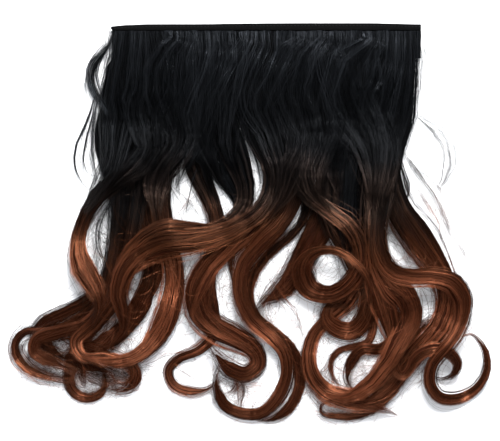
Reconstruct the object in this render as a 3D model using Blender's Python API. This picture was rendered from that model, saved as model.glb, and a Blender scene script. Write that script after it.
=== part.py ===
"""Clip-in hair extension: three rows of long curly hair sewn to one band, lying spread out on a table.

The band runs along X and the hair falls towards -Y. The table is z = 0, and the origin is on it, under the
plate of the middle clip. The pieces are made with x = 0 at the band's left end and y = 0 at its top edge, and
an empty carries them to the origin. All sizes are in metres.
"""
import math
from typing import NamedTuple

import bmesh
import bpy
import numpy as np

# Overall size as it lies
WEFT_WIDTH = 0.270
HAIR_DROP = 0.354

# Hair
HEADING_HEIGHT = 0.006
HANG_SHARE = 0.12
HEADING_THICKNESS = 0.0012
CURTAIN_THICKNESS = 0.0026
LOCK_THICKNESS = 0.0062
LOCK_FLATNESS = 0.36
CURL_RADIUS = 0.020
STEEPEST = 0.30
ROOT_OVERLAP = 0.0016
TIP_LENGTH = 0.030
TIP_WIDTH = 0.30
BEND_PER_SECTION = math.radians(25.0)
LONGEST_SECTION = 0.024
EASE_LENGTH = 0.005
SHARP_ANGLE = math.radians(50.0)

# Shares that shape a lock: of its bend's radius, of the hair's drop, of its half width, or of its thickness
WIDEST_IN_BEND = 0.8
LOOSE_FROM = 0.28
LOOSE_WITHIN = 0.20
FULL_CURTAIN = 0.08
SHOULDER = 0.55
INNER_WIDTH = 0.4
SINK = 0.55
OWN_REACH = 2.5
CURL_TIGHTENING = 0.25
CURL_THINNING = 0.45
CURL_STEP = math.radians(7.0)
STRETCH_STEPS = 12

# Band
BAND_HEIGHT = 0.024
BAND_THICKNESS = 0.0010
HEM_HEIGHT = 0.0036
HEM_WAVE = 0.0030
HEM_ROLL = 0.25

# Clips
CLIP_COUNT = 5
CLIP_WIDTH = 0.032
CLIP_PLATE = 0.007
CLIP_THICKNESS = 0.0028
CLIP_INSET = 0.008
CLIP_CORNER = 0.45
CORNER_STEPS = 4
COMB_TEETH = 7
COMB_DEPTH = 0.006
TOOTH_WIDTH = 0.0018

# Clearances and the grid that the hair is laid on
GAP = 0.0003
LAY_GAP = 0.0005
GRID = 0.0020
TABLE_MARGIN = 0.02
HEADING_INSET = 0.0001

BAND_Z = CLIP_THICKNESS + GAP
HEADING_Z = BAND_Z + BAND_THICKNESS + GAP
ROW_NAMES = ("back_hair", "middle_hair", "front_hair")
HEM_THICKNESS = BAND_THICKNESS + len(ROW_NAMES) * (HEADING_THICKNESS + GAP)
CLIP_DROP = HEM_WAVE + 0.5 * CLIP_PLATE


class Lock(NamedTuple):
    """One lock of hair, from its heading to its tip.

    root is the share of the weft's width where it is sewn, and its root reaches half-way to the next lock's on
    both sides. Each bend is (across, down, width), with across and width in hundredths of the weft's width and
    down in hundredths of the hair's drop. A lock may end in a curl, (turn in degrees, share of CURL_RADIUS),
    which winds up anticlockwise if the turn is positive.
    """
    name: str
    row: str
    root: float
    bends: tuple
    curl: tuple = ()


# In the order in which they are laid on the table
LOCKS = (
    Lock("far_left_loop", "back_hair", 0.02, (
        (-2, 28, 8), (0.5, 40, 6), (2.5, 50, 4), (1, 60, 3.5), (-4, 68, 3.5), (-12, 73.5, 3.5), (-21, 76, 3),
        (-28, 76.2, 2.6), (-31.3, 79, 2.6), (-30.8, 82.5, 2.8), (-27.5, 85.5, 3.2), (-21, 87.3, 3.2),
        (-14, 87.8, 3))),
    Lock("left_sweep", "back_hair", 0.11, (
        (6, 28, 10), (3, 40, 7), (1.5, 50, 5), (0, 58, 4), (-3, 64.5, 4), (-9, 68.8, 4.2), (-16, 71.8, 4.5),
        (-22, 74, 4.5), (-24, 77, 4.5), (-19, 81, 5), (-12, 84.5, 5))),
    Lock("left_low_curl", "back_hair", 0.21, (
        (16, 28, 10), (12, 40, 7), (8, 52, 5), (4, 63, 4.5), (-1, 71, 4.5), (-7, 76, 4.5), (-12, 81, 4.5),
        (-14, 87, 4.2)), (265, 0.9)),
    Lock("inner_left", "back_hair", 0.31, (
        (25, 24, 10), (16, 36, 9), (11, 44, 8), (11.5, 51, 8), (13.3, 58, 8), (12.8, 63.5, 7.5),
        (9.8, 68, 6.5), (6, 72.5, 5.5), (2, 77, 4.5), (-3, 81, 4))),
    Lock("mid_small_ring", "back_hair", 0.41, (
        (34, 19, 9), (28, 28, 8), (27.3, 35.5, 8), (31, 42, 7), (33.8, 48.5, 6), (32.5, 56, 5), (31.5, 65, 5),
        (33, 72, 4.5), (32.5, 77.5, 4), (28, 81, 3.6), (21.5, 83, 3.2), (18.3, 86, 3.2), (20.2, 89.6, 3.3),
        (25.5, 91, 3.5), (31, 90.4, 3.2), (35.5, 88, 3))),
    Lock("ring_outer", "back_hair", 0.52, (
        (58, 26, 10), (62, 35, 8), (63.5, 43, 4.5), (62, 48.5, 3), (57.5, 53, 2.8), (51.5, 56.6, 2.8),
        (46.8, 61, 3.2), (44.2, 67, 4), (46.5, 72.5, 4), (52.5, 76.5, 4.5), (58, 80.5, 4.5), (60.8, 85.5, 4),
        (60, 91.5, 4), (56, 96, 4), (50.5, 98.2, 3.5), (45, 97.3, 2.5))),
    Lock("loop_tail", "back_hair", 0.62, (
        (68, 26, 10), (70, 36, 9), (69.5, 44, 9), (67.5, 50, 10.5), (63.8, 55.5, 10), (60.3, 60.5, 9),
        (57, 64.5, 7.5), (53, 67.3, 6.3), (49, 69, 5.2), (45.5, 72, 3.5))),
    Lock("thin_ring", "back_hair", 0.72, (
        (76, 26, 10), (78, 36, 8), (80, 46, 5), (82, 56, 4), (84, 66, 3.5), (85, 73, 3), (83, 78.5, 2.4),
        (78.3, 79.9, 2), (74, 80.7, 2), (71.2, 83, 2), (71.2, 86.5, 2), (74, 90, 2))),
    Lock("dark_ring", "back_hair", 0.82, (
        (83, 26, 10), (82, 36, 8), (83, 46, 5), (84, 56, 4.5), (85, 65, 4.5), (89, 72.5, 4.5), (91, 78, 4),
        (86.8, 80.6, 4), (81.2, 80.6, 4), (77.6, 83.6, 4), (76.3, 88, 4), (79, 92, 3.5))),
    Lock("bottom_curl", "back_hair", 0.93, (
        (91.5, 26, 10), (90, 36, 8), (92, 45, 6), (97, 53, 5.5), (103, 59, 5), (107.5, 65, 5), (107.3, 72, 5),
        (103.5, 78, 5), (97.5, 83.5, 4.5), (93, 88, 4.5), (89, 92.5, 4), (84, 95.8, 3), (78, 97.3, 2.6),
        (69.5, 97, 2.4)), (-225, 0.3)),
    Lock("left_broad", "middle_hair", 0.05, (
        (3, 28, 10), (3.5, 40, 7), (3, 50, 5), (1, 60, 4.5), (-2.5, 69, 5), (-9, 74.5, 5), (-17, 76.3, 5),
        (-24, 78, 5.5), (-25, 81, 6), (-18, 84, 6), (-11, 86, 5))),
    Lock("left_right_curl", "middle_hair", 0.15, (
        (12, 28, 10), (9, 40, 8), (7, 50, 6), (4, 60, 5), (0, 68, 4.5), (-6, 74, 4.5), (-11.5, 78.5, 4),
        (-9, 82.2, 3.5), (-2, 82.2, 3.3), (4, 83.5, 3.5)), (-200, 0.55)),
    Lock("mid_left_broad", "middle_hair", 0.25, (
        (20, 26, 10), (16.5, 35, 9), (15.5, 43, 8), (17, 51, 8), (19.5, 58, 7), (20.2, 64, 7.5),
        (18.5, 71, 8.5), (15, 77, 8), (9.5, 81.5, 6), (3, 83.3, 5), (-4, 83.3, 4.5), (-10, 82, 3.5))),
    Lock("mid_dark_tongue", "middle_hair", 0.35, (
        (31.5, 24, 9), (34, 33, 9), (38, 39.5, 7), (40.8, 44, 4), (41, 48, 3), (39.5, 53, 3), (38.5, 58, 3),
        (39.5, 65, 2.4))),
    Lock("big_s", "middle_hair", 0.46, (
        (50, 25, 11), (54, 34, 9), (53, 43, 7), (46.5, 50, 7), (38, 55.5, 7), (31, 60, 8), (27.5, 66, 9),
        (28.8, 71.7, 9), (34, 75.5, 8.5), (40.5, 77.9, 8), (45.8, 81, 6.5), (47, 84.2, 5.5), (43.3, 86.5, 5.5),
        (38, 85.3, 6), (33.8, 82, 5.5), (30.8, 78.5, 4.5))),
    Lock("ring_inner", "middle_hair", 0.56, (
        (60, 26, 10), (61, 35, 8), (59.5, 42, 6.5), (55, 49, 6.5), (48, 54.5, 6.5), (42.5, 60, 6),
        (41.7, 67, 5.5), (45, 73, 5.5), (51, 77.3, 5), (55.5, 81.5, 4.5), (56.5, 86.5, 4.5), (54, 92, 4.5),
        (48.5, 96, 4), (42.5, 96.4, 4.3), (37, 94.6, 4), (34.3, 91, 4), (33.7, 87, 3.5), (35, 84, 3))),
    Lock("bottom_point", "middle_hair", 0.66, (
        (71, 26, 10), (70.5, 36, 8), (70, 46, 6), (72.5, 52, 6), (77, 57.5, 6), (79.5, 63, 6),
        (76, 69, 5.5), (70, 73, 5), (65.5, 77, 4.8), (63.7, 82, 5), (65, 87, 5.8), (69.5, 91, 6.5),
        (76, 92.8, 7.3), (83, 94, 6.3), (89, 95.8, 4), (92.7, 97, 2))),
    Lock("inner_dark_curl", "middle_hair", 0.76, (
        (79, 26, 10), (77, 36, 8), (76, 46, 7), (78, 56, 6.5), (81.7, 62, 5.5), (83, 67.5, 6),
        (81.8, 73, 7), (78, 76, 7), (73, 75.5, 7), (69.5, 72.5, 6.5), (71, 69.3, 5), (75, 69.8, 4.5),
        (77, 72, 3.5))),
    Lock("right_outer", "middle_hair", 0.96, (
        (92.5, 25, 9), (89.5, 33, 8), (90.5, 41, 9), (93.5, 47, 10.5), (98.8, 52.5, 11.5),
        (103.8, 58, 9.5), (107.5, 63.5, 8), (108.5, 69, 7.5), (106, 75, 7.5), (100, 80, 7), (94, 85.5, 7),
        (89, 90.5, 6), (82, 93.3, 5), (76, 94, 3))),
    Lock("spine", "middle_hair", 0.86, (
        (86.5, 26, 10), (84.5, 36, 7), (83, 44, 5), (83, 52, 6), (83.8, 59, 7), (86, 65, 8), (88.5, 71, 8),
        (90.3, 76, 6), (91.3, 80, 4), (90, 84, 4), (86.5, 88.5, 4.5), (81, 91.5, 4.5))),
    Lock("left_outer", "front_hair", 0.08, (
        (9, 20, 18), (13, 27, 11), (10, 33, 8), (3, 38, 6.5), (-4, 42.5, 6), (-8.7, 48, 5.3),
        (-10.8, 53.5, 5.5), (-9.7, 59, 8), (-6, 64.5, 8), (-3.8, 70, 5.5), (-6, 75, 4))),
    Lock("cross_upper", "front_hair", 0.30, (
        (33, 20, 17), (36, 26, 11), (39.5, 31, 8.5), (42, 36.5, 8), (43.3, 40.5, 6.5), (42.8, 44.7, 5.5),
        (38.5, 48.8, 4.8), (32, 51, 4.5), (24, 50.3, 4.5), (17, 50.3, 4.5), (10.5, 52.7, 4), (5, 57, 3.5),
        (1.5, 62.5, 3), (0.3, 68, 2.5))),
    Lock("cross", "front_hair", 0.42, (
        (47.5, 21, 15), (47.8, 27, 11.5), (49.5, 31, 8.5), (51.3, 35, 7), (52, 39, 6.2), (50.5, 43.5, 6.2),
        (46.5, 47.5, 6), (40.5, 50.5, 6.5), (33, 52.8, 7), (25, 54, 8), (17, 54.6, 8.5), (9.5, 57.3, 8),
        (4, 62, 6.5), (2.3, 67, 6), (3.8, 72, 5.5), (3.5, 76, 4), (0.5, 79, 2.5))),
    Lock("right_cross", "front_hair", 0.54, (
        (60, 27, 9), (60, 37, 6.5), (63.5, 42.5, 6.5), (69.5, 46.5, 7), (75, 50, 7.5), (79, 55.5, 7),
        (80.3, 61.5, 6), (79, 67, 5.5), (80.8, 72, 4.5)), (-150, 0.8)),
    Lock("top_ring", "front_hair", 0.67, (
        (64, 23, 16), (60, 32, 10), (60.5, 38, 7), (64.5, 43, 6), (70.5, 46.3, 6), (76, 49.5, 6),
        (79.7, 54, 6), (80.3, 59.5, 6), (76.5, 64.5, 6.5), (70, 67, 7), (63.5, 65.3, 8.5),
        (61.3, 60.5, 8.5), (64, 57, 5), (68.5, 55.8, 3), (73, 56.3, 2.6), (78, 58.7, 2.6),
        (81.8, 62.3, 2.6), (83.3, 66, 2.4), (82.8, 69.5, 2))),
    Lock("small_right_curl", "front_hair", 0.87, (
        (90, 22, 10), (89, 34, 6), (87.5, 44, 5), (85.5, 52, 5), (86, 60, 4.5), (89, 67, 4.5),
        (91, 74, 4.5), (91, 80, 4.5), (91.3, 84.3, 4.3), (93.3, 86.7, 4.2), (95.5, 85.6, 4.2),
        (97.3, 82.8, 4.5), (100.5, 80.9, 4.5), (105, 80.2, 4.5), (109.5, 81.6, 4.2), (111.7, 84.3, 3.8),
        (110.3, 87, 3.3), (106.5, 88, 2.6), (103.5, 87.2, 2))),
    Lock("right_inner", "front_hair", 0.79, (
        (81, 24, 13), (84, 36, 8), (85.5, 44, 6), (85.5, 52, 6), (86.3, 58.5, 7.5), (90.3, 64, 9.5),
        (95, 67.8, 9.5), (96.8, 72, 8.5), (94.5, 76.7, 8), (90.5, 81.5, 7), (86, 86.5, 6), (80, 90.5, 5.5),
        (74, 92.3, 4.5), (69, 91.5, 3))),
    Lock("right_ring", "front_hair", 0.93, (
        (92, 22, 11), (89, 36, 7.5), (87.5, 44, 7), (85.5, 51, 5.5), (86.3, 57, 6), (90.3, 61.3, 6),
        (97, 62.6, 6), (104, 62.5, 6.3), (110, 64, 7), (113.3, 68, 7), (113, 72.5, 5.5), (111.3, 75.8, 5),
        (108, 79.5, 4.5), (103.5, 84, 4.3), (102.8, 88.8, 4.2), (106, 92.3, 4.3), (112, 92.8, 4.2),
        (118, 90.3, 3.5), (121.2, 85.5, 2.8), (120.3, 80.5, 2.4), (116, 76.8, 2.2), (112.5, 77.3, 1.6))),
)

# A lock's section, as (share of its half width, share of its thickness), anticlockwise seen from its root
SECTION = ((-1.0, 0.5), (-SHOULDER, 0.0), (SHOULDER, 0.0), (1.0, 0.5), (SHOULDER, 1.0), (-SHOULDER, 1.0))

# The hem's waves: (share across the weft, share of HEM_WAVE that the edge lies below y = 0)
HEM_EDGE = ((0.0, 1.0), (0.03, 0.6), (0.12, 0.3), (0.28, 0.3), (0.42, 0.1), (0.60, 0.0), (0.85, 0.0), (1.0, 0.35))

BROWN = (0.085, 0.030, 0.016, 1.0)
CLOTH = (0.006, 0.006, 0.007, 1.0)
LACQUER = (0.012, 0.012, 0.013, 1.0)


def clear_scene():
    for thing in list(bpy.data.objects):
        bpy.data.objects.remove(thing, do_unlink=True)


def make_material(name, colour, roughness, metallic=0.0):
    material = bpy.data.materials.new(name)
    material.use_nodes = True
    shader = material.node_tree.nodes["Principled BSDF"]
    shader.inputs["Base Color"].default_value = colour
    shader.inputs["Roughness"].default_value = roughness
    shader.inputs["Metallic"].default_value = metallic
    return material


def make_object(name, mesh_data, material):
    mesh = bpy.data.meshes.new(name)
    mesh_data.to_mesh(mesh)
    mesh_data.free()
    mesh.materials.append(material)
    mesh.shade_smooth()
    mesh.set_sharp_from_angle(angle=SHARP_ANGLE)
    thing = bpy.data.objects.new(name, mesh)
    bpy.context.scene.collection.objects.link(thing)
    return thing


def smooth_route(points, steps):
    """A centripetal Catmull-Rom curve through the points, sampled at the given number of steps a stretch."""
    ends = np.vstack([2 * points[0] - points[1], points, 2 * points[-1] - points[-2]])
    route = []
    for a, b, c, d in zip(ends, ends[1:], ends[2:], ends[3:]):
        knots = np.cumsum([0.0] + [math.sqrt(math.dist(p[:2], q[:2])) for p, q in ((a, b), (b, c), (c, d))])
        for t in np.linspace(knots[1], knots[2], steps, endpoint=False):
            first = [_blend(p, q, t, knots[i], knots[i + 1]) for i, (p, q) in enumerate(((a, b), (b, c), (c, d)))]
            second = [_blend(first[i], first[i + 1], t, knots[i], knots[i + 2]) for i in range(2)]
            route.append(_blend(second[0], second[1], t, knots[1], knots[2]))
    route.append(points[-1])
    return np.array(route)


def _blend(p, q, t, start, end):
    return ((end - t) * p + (t - start) * q) / (end - start)


def wind_curl(route, turn, radius):
    """Adds a curl that winds up and thins as it goes to the end of a route."""
    heading = math.atan2(route[-1][1] - route[-2][1], route[-1][0] - route[-2][0])
    x, y, width = route[-1]
    count = math.ceil(abs(turn) / CURL_STEP)
    curl = []
    for i in range(1, count + 1):
        share = i / count
        heading += turn / count
        step = radius * (1.0 - CURL_TIGHTENING * share) * abs(turn) / count
        x += step * math.cos(heading)
        y += step * math.sin(heading)
        curl.append((x, y, width * (1.0 - CURL_THINNING * share)))
    return np.vstack([route, curl])


def heading_top(row_index):
    """How far a row's heading lies below the band's top edge: each row is sewn above the one before it."""
    return HEM_WAVE + HEM_HEIGHT + GAP + HEADING_HEIGHT * (len(ROW_NAMES) - 1 - row_index)


def root_span(lock):
    """Where a lock's root starts and ends along the heading."""
    roots = sorted(other.root for other in LOCKS if other.row == lock.row)
    edges = [0.0] + [0.5 * (a + b) for a, b in zip(roots, roots[1:])] + [1.0]
    place = roots.index(lock.root)
    left = edges[place] * WEFT_WIDTH - (ROOT_OVERLAP if place else 0.0)
    right = edges[place + 1] * WEFT_WIDTH + (ROOT_OVERLAP if place < len(roots) - 1 else 0.0)
    return left, right


class Route:
    """A lock's path on the table, its half width and thickness, and later its height."""

    def __init__(self, lock, row_index):
        unit = np.array([WEFT_WIDTH, -HAIR_DROP, WEFT_WIDTH]) / 100.0
        left, right = root_span(lock)
        middle = 0.5 * (left + right)
        start = -heading_top(row_index) - 0.5 * HEADING_HEIGHT
        first = np.array([middle, start, right - left])
        hang = np.array([middle, -HANG_SHARE * HAIR_DROP, right - left])
        bends = [np.array(bend) * unit for bend in lock.bends]
        route = smooth_route(np.array([first, hang] + bends), STRETCH_STEPS)
        if lock.curl:
            route = wind_curl(route, math.radians(lock.curl[0]), lock.curl[1] * CURL_RADIUS)
        self.lock = lock
        self.row_index = row_index
        self.sample(route)

    def sample(self, route):
        """Evens the route out, limits its width to what its bends allow, and narrows its tip."""
        lengths = np.linalg.norm(np.diff(route[:, :2], axis=0), axis=1)
        along = np.concatenate([[0.0], np.cumsum(lengths)])
        count = math.ceil(along[-1] / GRID) + 1
        even = np.linspace(0.0, along[-1], count)
        self.along = even
        self.place = np.stack([np.interp(even, along, route[:, k]) for k in (0, 1)], axis=1)
        tangent = np.gradient(self.place, axis=0)
        angle = np.unwrap(np.arctan2(tangent[:, 1], tangent[:, 0]))
        self.angle = running(angle, 2, "mean")
        self.side = np.stack([-np.sin(self.angle), np.cos(self.angle)], axis=1)
        bend = running(np.abs(np.gradient(self.angle, even)), 3, "max")
        half = 0.5 * np.interp(even, along, route[:, 2])
        half = np.minimum(half, WIDEST_IN_BEND / np.maximum(bend, 1e-6))
        half = running(running(half, 3, "min"), 3, "mean")
        to_tip = np.clip((even[-1] - even) / TIP_LENGTH, 0.0, 1.0)
        self.half = half * (TIP_WIDTH + (1.0 - TIP_WIDTH) * to_tip)
        down = -self.place[:, 1] / HAIR_DROP
        self.loose = np.maximum.accumulate(np.clip((down - LOOSE_FROM) / LOOSE_WITHIN, 0.0, 1.0))
        rooted = np.clip(self.along / (FULL_CURTAIN * HAIR_DROP), 0.0, 1.0)
        curtain = HEADING_THICKNESS + (CURTAIN_THICKNESS - HEADING_THICKNESS) * rooted
        full = np.minimum(2.0 * self.half * LOCK_FLATNESS, LOCK_THICKNESS)
        self.thick = curtain + (full - curtain) * self.loose

    def pick_sections(self):
        """The samples that become sections: one for each bend or stretch."""
        chosen = [0]
        turned = np.concatenate([[0.0], np.cumsum(np.abs(np.diff(self.angle)))])
        for i in range(1, len(self.along) - 1):
            last = chosen[-1]
            far = self.along[i + 1] - self.along[last] > LONGEST_SECTION
            bent = turned[i + 1] - turned[last] > BEND_PER_SECTION
            if far or bent:
                chosen.append(i)
        chosen.append(len(self.along) - 1)
        return chosen


def running(values, reach, kind):
    """The running max, min or mean of a row of values, over reach samples on both sides."""
    padded = np.pad(values, reach, mode="edge")
    windows = np.lib.stride_tricks.sliding_window_view(padded, 2 * reach + 1)
    return {"max": np.max, "min": np.min, "mean": np.mean}[kind](windows, axis=1)


class Table:
    """The heights of what lies on the table, on a square grid, one layer for each row of hair."""

    def __init__(self, routes):
        corners = np.vstack([route.place for route in routes])
        self.low = corners.min(axis=0) - TABLE_MARGIN
        self.size = np.ceil((corners.max(axis=0) + TABLE_MARGIN - self.low) / GRID).astype(int) + 1
        self.layers = np.zeros((len(ROW_NAMES), *self.size))

    def cells(self, places):
        return np.clip(np.round((places - self.low) / GRID).astype(int), 1, self.size - 2)

    def put(self, layer, places, tops):
        cells = self.cells(places)
        np.maximum.at(self.layers[layer], (cells[..., 0], cells[..., 1]), tops)

    def top(self, layers, places, spread):
        """The greatest height in the layers near each place."""
        if not len(layers):
            return np.zeros(places.shape[:-1])
        cells = self.cells(places)
        field = self.layers[layers].max(axis=0)
        found = np.zeros(places.shape[:-1])
        for dx in range(-spread, spread + 1):
            for dy in range(-spread, spread + 1):
                found = np.maximum(found, field[cells[..., 0] + dx, cells[..., 1] + dy])
        return found


def footprint(route, reach):
    """Places across a route, and how far the section rises off its own base there."""
    shares = np.linspace(-reach, reach, 9)
    places = route.place[:, None, :] + route.side[:, None, :] * (shares * route.half[:, None])[..., None]
    rise = 0.5 * np.clip((np.abs(shares) - SHOULDER) / (1.0 - SHOULDER), 0.0, 1.0)
    return places, rise * route.thick[:, None]


def lay_route(route, table):
    """Lays a lock on what is under it: clear of the rows below, and half sunk in its own row's locks."""
    places, rise = footprint(route, 1.0)
    below = np.arange(route.row_index)
    need = (table.top(below, places, 1) - rise).max(axis=1)
    need = np.where(need > 0.0, need + LAY_GAP, 0.0)
    inner, _ = footprint(route, INNER_WIDTH)
    same = table.top([route.row_index], inner, 0).max(axis=1)
    need = np.maximum(need, (same - SINK * route.thick) * route.loose)
    root_z = HEADING_Z + route.row_index * (HEADING_THICKNESS + GAP)
    need[route.along < HEADING_HEIGHT] = root_z
    route.sections = route.pick_sections()
    height = settle(route, need)
    for _ in range(2):
        height = settle(route, np.maximum(need, over_itself(route, height)))
    route.height = height
    tops = route.height[:, None] + route.thick[:, None] - rise
    table.put(route.row_index, places, tops)


def settle(route, need):
    """Heights at the sections that keep every sample above what it needs, joined by straight stretches."""
    ease = max(2, round(EASE_LENGTH / GRID))
    wanted = running(running(need, ease, "max"), ease, "mean")
    wanted = np.maximum(wanted, need)
    fall = STEEPEST * (route.along[1] - route.along[0])
    for order in (range(1, len(wanted)), range(len(wanted) - 2, -1, -1)):
        for i in order:
            before = i - 1 if order.step > 0 else i + 1
            wanted[i] = max(wanted[i], wanted[before] - fall)
    marks = route.sections
    heights = np.zeros(len(marks))
    for k in range(len(marks)):
        first = marks[max(k - 1, 0)]
        last = marks[min(k + 1, len(marks) - 1)]
        middle = wanted[marks[k]]
        heights[k] = max(middle, need[first:last + 1].max() if k else middle)
    heights[0] = need[0]
    return np.interp(route.along, route.along[marks], heights)


def over_itself(route, height):
    """Where a lock comes back over its own earlier part, the height that clears it."""
    need = np.zeros(len(height))
    for i in range(len(height)):
        apart = OWN_REACH * (route.half + route.half[i])
        earlier = route.along < route.along[i] - apart
        close = np.linalg.norm(route.place - route.place[i], axis=1) < route.half + route.half[i] + GRID
        under = earlier & close
        if under.any():
            need[i] = (height + route.thick)[under].max() + LAY_GAP
    return need


def sweep_lock(route, material):
    """The lock's closed solid: a section at each chosen sample, with flat ends."""
    mesh = bmesh.new()
    rings = []
    for i in route.sections:
        ring = []
        for across, up in SECTION:
            x, y = route.place[i] - route.side[i] * across * route.half[i]
            ring.append(mesh.verts.new((x, y, route.height[i] + up * route.thick[i])))
        rings.append(ring)
    for ring, following in zip(rings, rings[1:]):
        for k in range(len(SECTION)):
            after = (k + 1) % len(SECTION)
            mesh.faces.new((ring[k], ring[after], following[after], following[k]))
    mesh.faces.new(reversed(rings[0]))
    mesh.faces.new(rings[-1])
    bmesh.ops.recalc_face_normals(mesh, faces=mesh.faces)
    bmesh.ops.triangulate(mesh, faces=mesh.faces)
    thing = make_object(route.lock.name, mesh, material)
    thing.hide_render = True
    thing.display_type = "WIRE"
    return thing


def strip(mesh, y_top, y_bottom, z_bottom, z_top):
    """A flat strip along the whole weft."""
    corners = ((y_bottom, z_bottom), (y_top, z_bottom), (y_top, z_top), (y_bottom, z_top))
    left, right = ([mesh.verts.new((x, y, z)) for y, z in corners] for x in (0.0, WEFT_WIDTH))
    for k in range(len(corners)):
        after = (k + 1) % len(corners)
        mesh.faces.new((left[k], left[after], right[after], right[k]))
    mesh.faces.new(left)
    mesh.faces.new(reversed(right))
    bmesh.ops.recalc_face_normals(mesh, faces=mesh.faces)


def make_row(name, routes, material):
    """A row of hair: its weft heading with its locks fused on."""
    row_index = ROW_NAMES.index(name)
    base = HEADING_Z + row_index * (HEADING_THICKNESS + GAP)
    top = -heading_top(row_index)
    mesh = bmesh.new()
    strip(mesh, top, top - HEADING_HEIGHT, base + HEADING_INSET, base + HEADING_THICKNESS - HEADING_INSET)
    heading = make_object(name, mesh, material)
    locks = bpy.data.collections.new(name + "_locks")
    for route in routes:
        if route.lock.row == name:
            thing = sweep_lock(route, material)
            bpy.context.scene.collection.objects.unlink(thing)
            locks.objects.link(thing)
            thing.parent = heading
    bpy.context.scene.collection.children.link(locks)
    fuse_locks(heading, locks)
    return heading


def fuse_locks(heading, locks):
    """Joins the locks to their heading as one solid."""
    union = heading.modifiers.new("fuse_locks", "BOOLEAN")
    union.operation = "UNION"
    union.operand_type = "COLLECTION"
    union.collection = locks
    union.solver = "EXACT"
    graph = bpy.context.evaluated_depsgraph_get()
    mesh = bmesh.new()
    mesh.from_mesh(heading.evaluated_get(graph).data)
    heading.modifiers.remove(union)
    drop_pockets(mesh)
    mesh.to_mesh(heading.data)
    mesh.free()
    heading.data.shade_smooth()
    heading.data.set_sharp_from_angle(angle=SHARP_ANGLE)


def drop_pockets(mesh):
    """Fills the closed pockets between crossing locks, whose skins have a negative volume."""
    waiting = set(mesh.faces)
    while waiting:
        shell = {waiting.pop()}
        edge_of_shell = list(shell)
        while edge_of_shell:
            face = edge_of_shell.pop()
            for neighbour in {other for edge in face.edges for other in edge.link_faces} & waiting:
                waiting.discard(neighbour)
                shell.add(neighbour)
                edge_of_shell.append(neighbour)
        volume = sum(face.calc_center_median().dot(face.normal) * face.calc_area() for face in shell)
        if volume < 0.0:
            bmesh.ops.delete(mesh, geom=list(shell), context="FACES")


def make_band(material):
    """The cloth band under the headings, with its rolled and waved hem."""
    columns = [(share * WEFT_WIDTH, drop * HEM_WAVE) for share, drop in HEM_EDGE]
    hem_bottom = -(HEM_WAVE + HEM_HEIGHT)
    top = BAND_Z + HEM_THICKNESS
    roll = HEM_ROLL * HEM_THICKNESS
    mesh = bmesh.new()
    rings = []
    for x, drop in columns:
        outline = ((hem_bottom - BAND_HEIGHT, BAND_Z), (-drop - roll, BAND_Z), (-drop, BAND_Z + roll),
                   (-drop, top - roll), (-drop - roll, top), (hem_bottom, top),
                   (hem_bottom, BAND_Z + BAND_THICKNESS), (hem_bottom - BAND_HEIGHT, BAND_Z + BAND_THICKNESS))
        rings.append([mesh.verts.new((x, y, z)) for y, z in outline])
    for ring, following in zip(rings, rings[1:]):
        for k in range(len(ring)):
            after = (k + 1) % len(ring)
            mesh.faces.new((ring[k], ring[after], following[after], following[k]))
    mesh.faces.new(rings[0])
    mesh.faces.new(list(reversed(rings[-1])))
    bmesh.ops.recalc_face_normals(mesh, faces=mesh.faces)
    return make_object("weft_band", mesh, material)


def clip_outline():
    """The clip's outline about the middle of its plate, with a comb of teeth along its lower edge."""
    half = 0.5 * CLIP_WIDTH
    back = 0.5 * CLIP_PLATE
    corner = CLIP_CORNER * CLIP_PLATE
    outline = []
    for centre, start in (((half - corner, back - corner), 0.0), ((-half + corner, back - corner), 90.0)):
        for step in range(CORNER_STEPS + 1):
            angle = math.radians(start + 90.0 * step / CORNER_STEPS)
            outline.append((centre[0] + corner * math.cos(angle), centre[1] + corner * math.sin(angle)))
    pitch = (CLIP_WIDTH - TOOTH_WIDTH) / (COMB_TEETH - 1)
    for tooth in range(COMB_TEETH):
        left = -half + tooth * pitch
        right = left + TOOTH_WIDTH
        if tooth:
            outline.append((left, -back))
        outline.append((left, -back - COMB_DEPTH))
        outline.append((right, -back - COMB_DEPTH))
        if tooth < COMB_TEETH - 1:
            outline.append((right, -back))
    return outline


def make_clip(number, material):
    """One plain comb clip, flat under the band."""
    share = (number - 1) / (CLIP_COUNT - 1)
    x = CLIP_INSET + 0.5 * CLIP_WIDTH + share * (WEFT_WIDTH - CLIP_WIDTH - 2.0 * CLIP_INSET)
    mesh = bmesh.new()
    floor = [mesh.verts.new((px, py, 0.0)) for px, py in clip_outline()]
    face = mesh.faces.new(floor)
    raised = bmesh.ops.extrude_face_region(mesh, geom=[face])
    top = [part for part in raised["geom"] if isinstance(part, bmesh.types.BMVert)]
    bmesh.ops.translate(mesh, verts=top, vec=(0.0, 0.0, CLIP_THICKNESS))
    bmesh.ops.recalc_face_normals(mesh, faces=mesh.faces)
    clip = make_object(f"clip_{number}", mesh, material)
    clip.location = (x, -CLIP_DROP, 0.0)
    return clip


def main():
    clear_scene()
    hair = make_material("hair", BROWN, 0.45)
    cloth = make_material("band_cloth", CLOTH, 0.9)
    lacquer = make_material("clip_lacquer", LACQUER, 0.4, 0.3)
    routes = [Route(lock, ROW_NAMES.index(lock.row)) for lock in LOCKS]
    table = Table(routes)
    for name in ROW_NAMES:
        for route in routes:
            if route.lock.row == name:
                lay_route(route, table)
    pieces = [make_row(name, routes, hair) for name in ROW_NAMES]
    pieces.append(make_band(cloth))
    pieces += [make_clip(number, lacquer) for number in range(1, CLIP_COUNT + 1)]
    extension = bpy.data.objects.new("extension", None)
    bpy.context.scene.collection.objects.link(extension)
    extension.location = (-0.5 * WEFT_WIDTH, CLIP_DROP, 0.0)
    for piece in pieces:
        piece.parent = extension


main()
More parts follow.
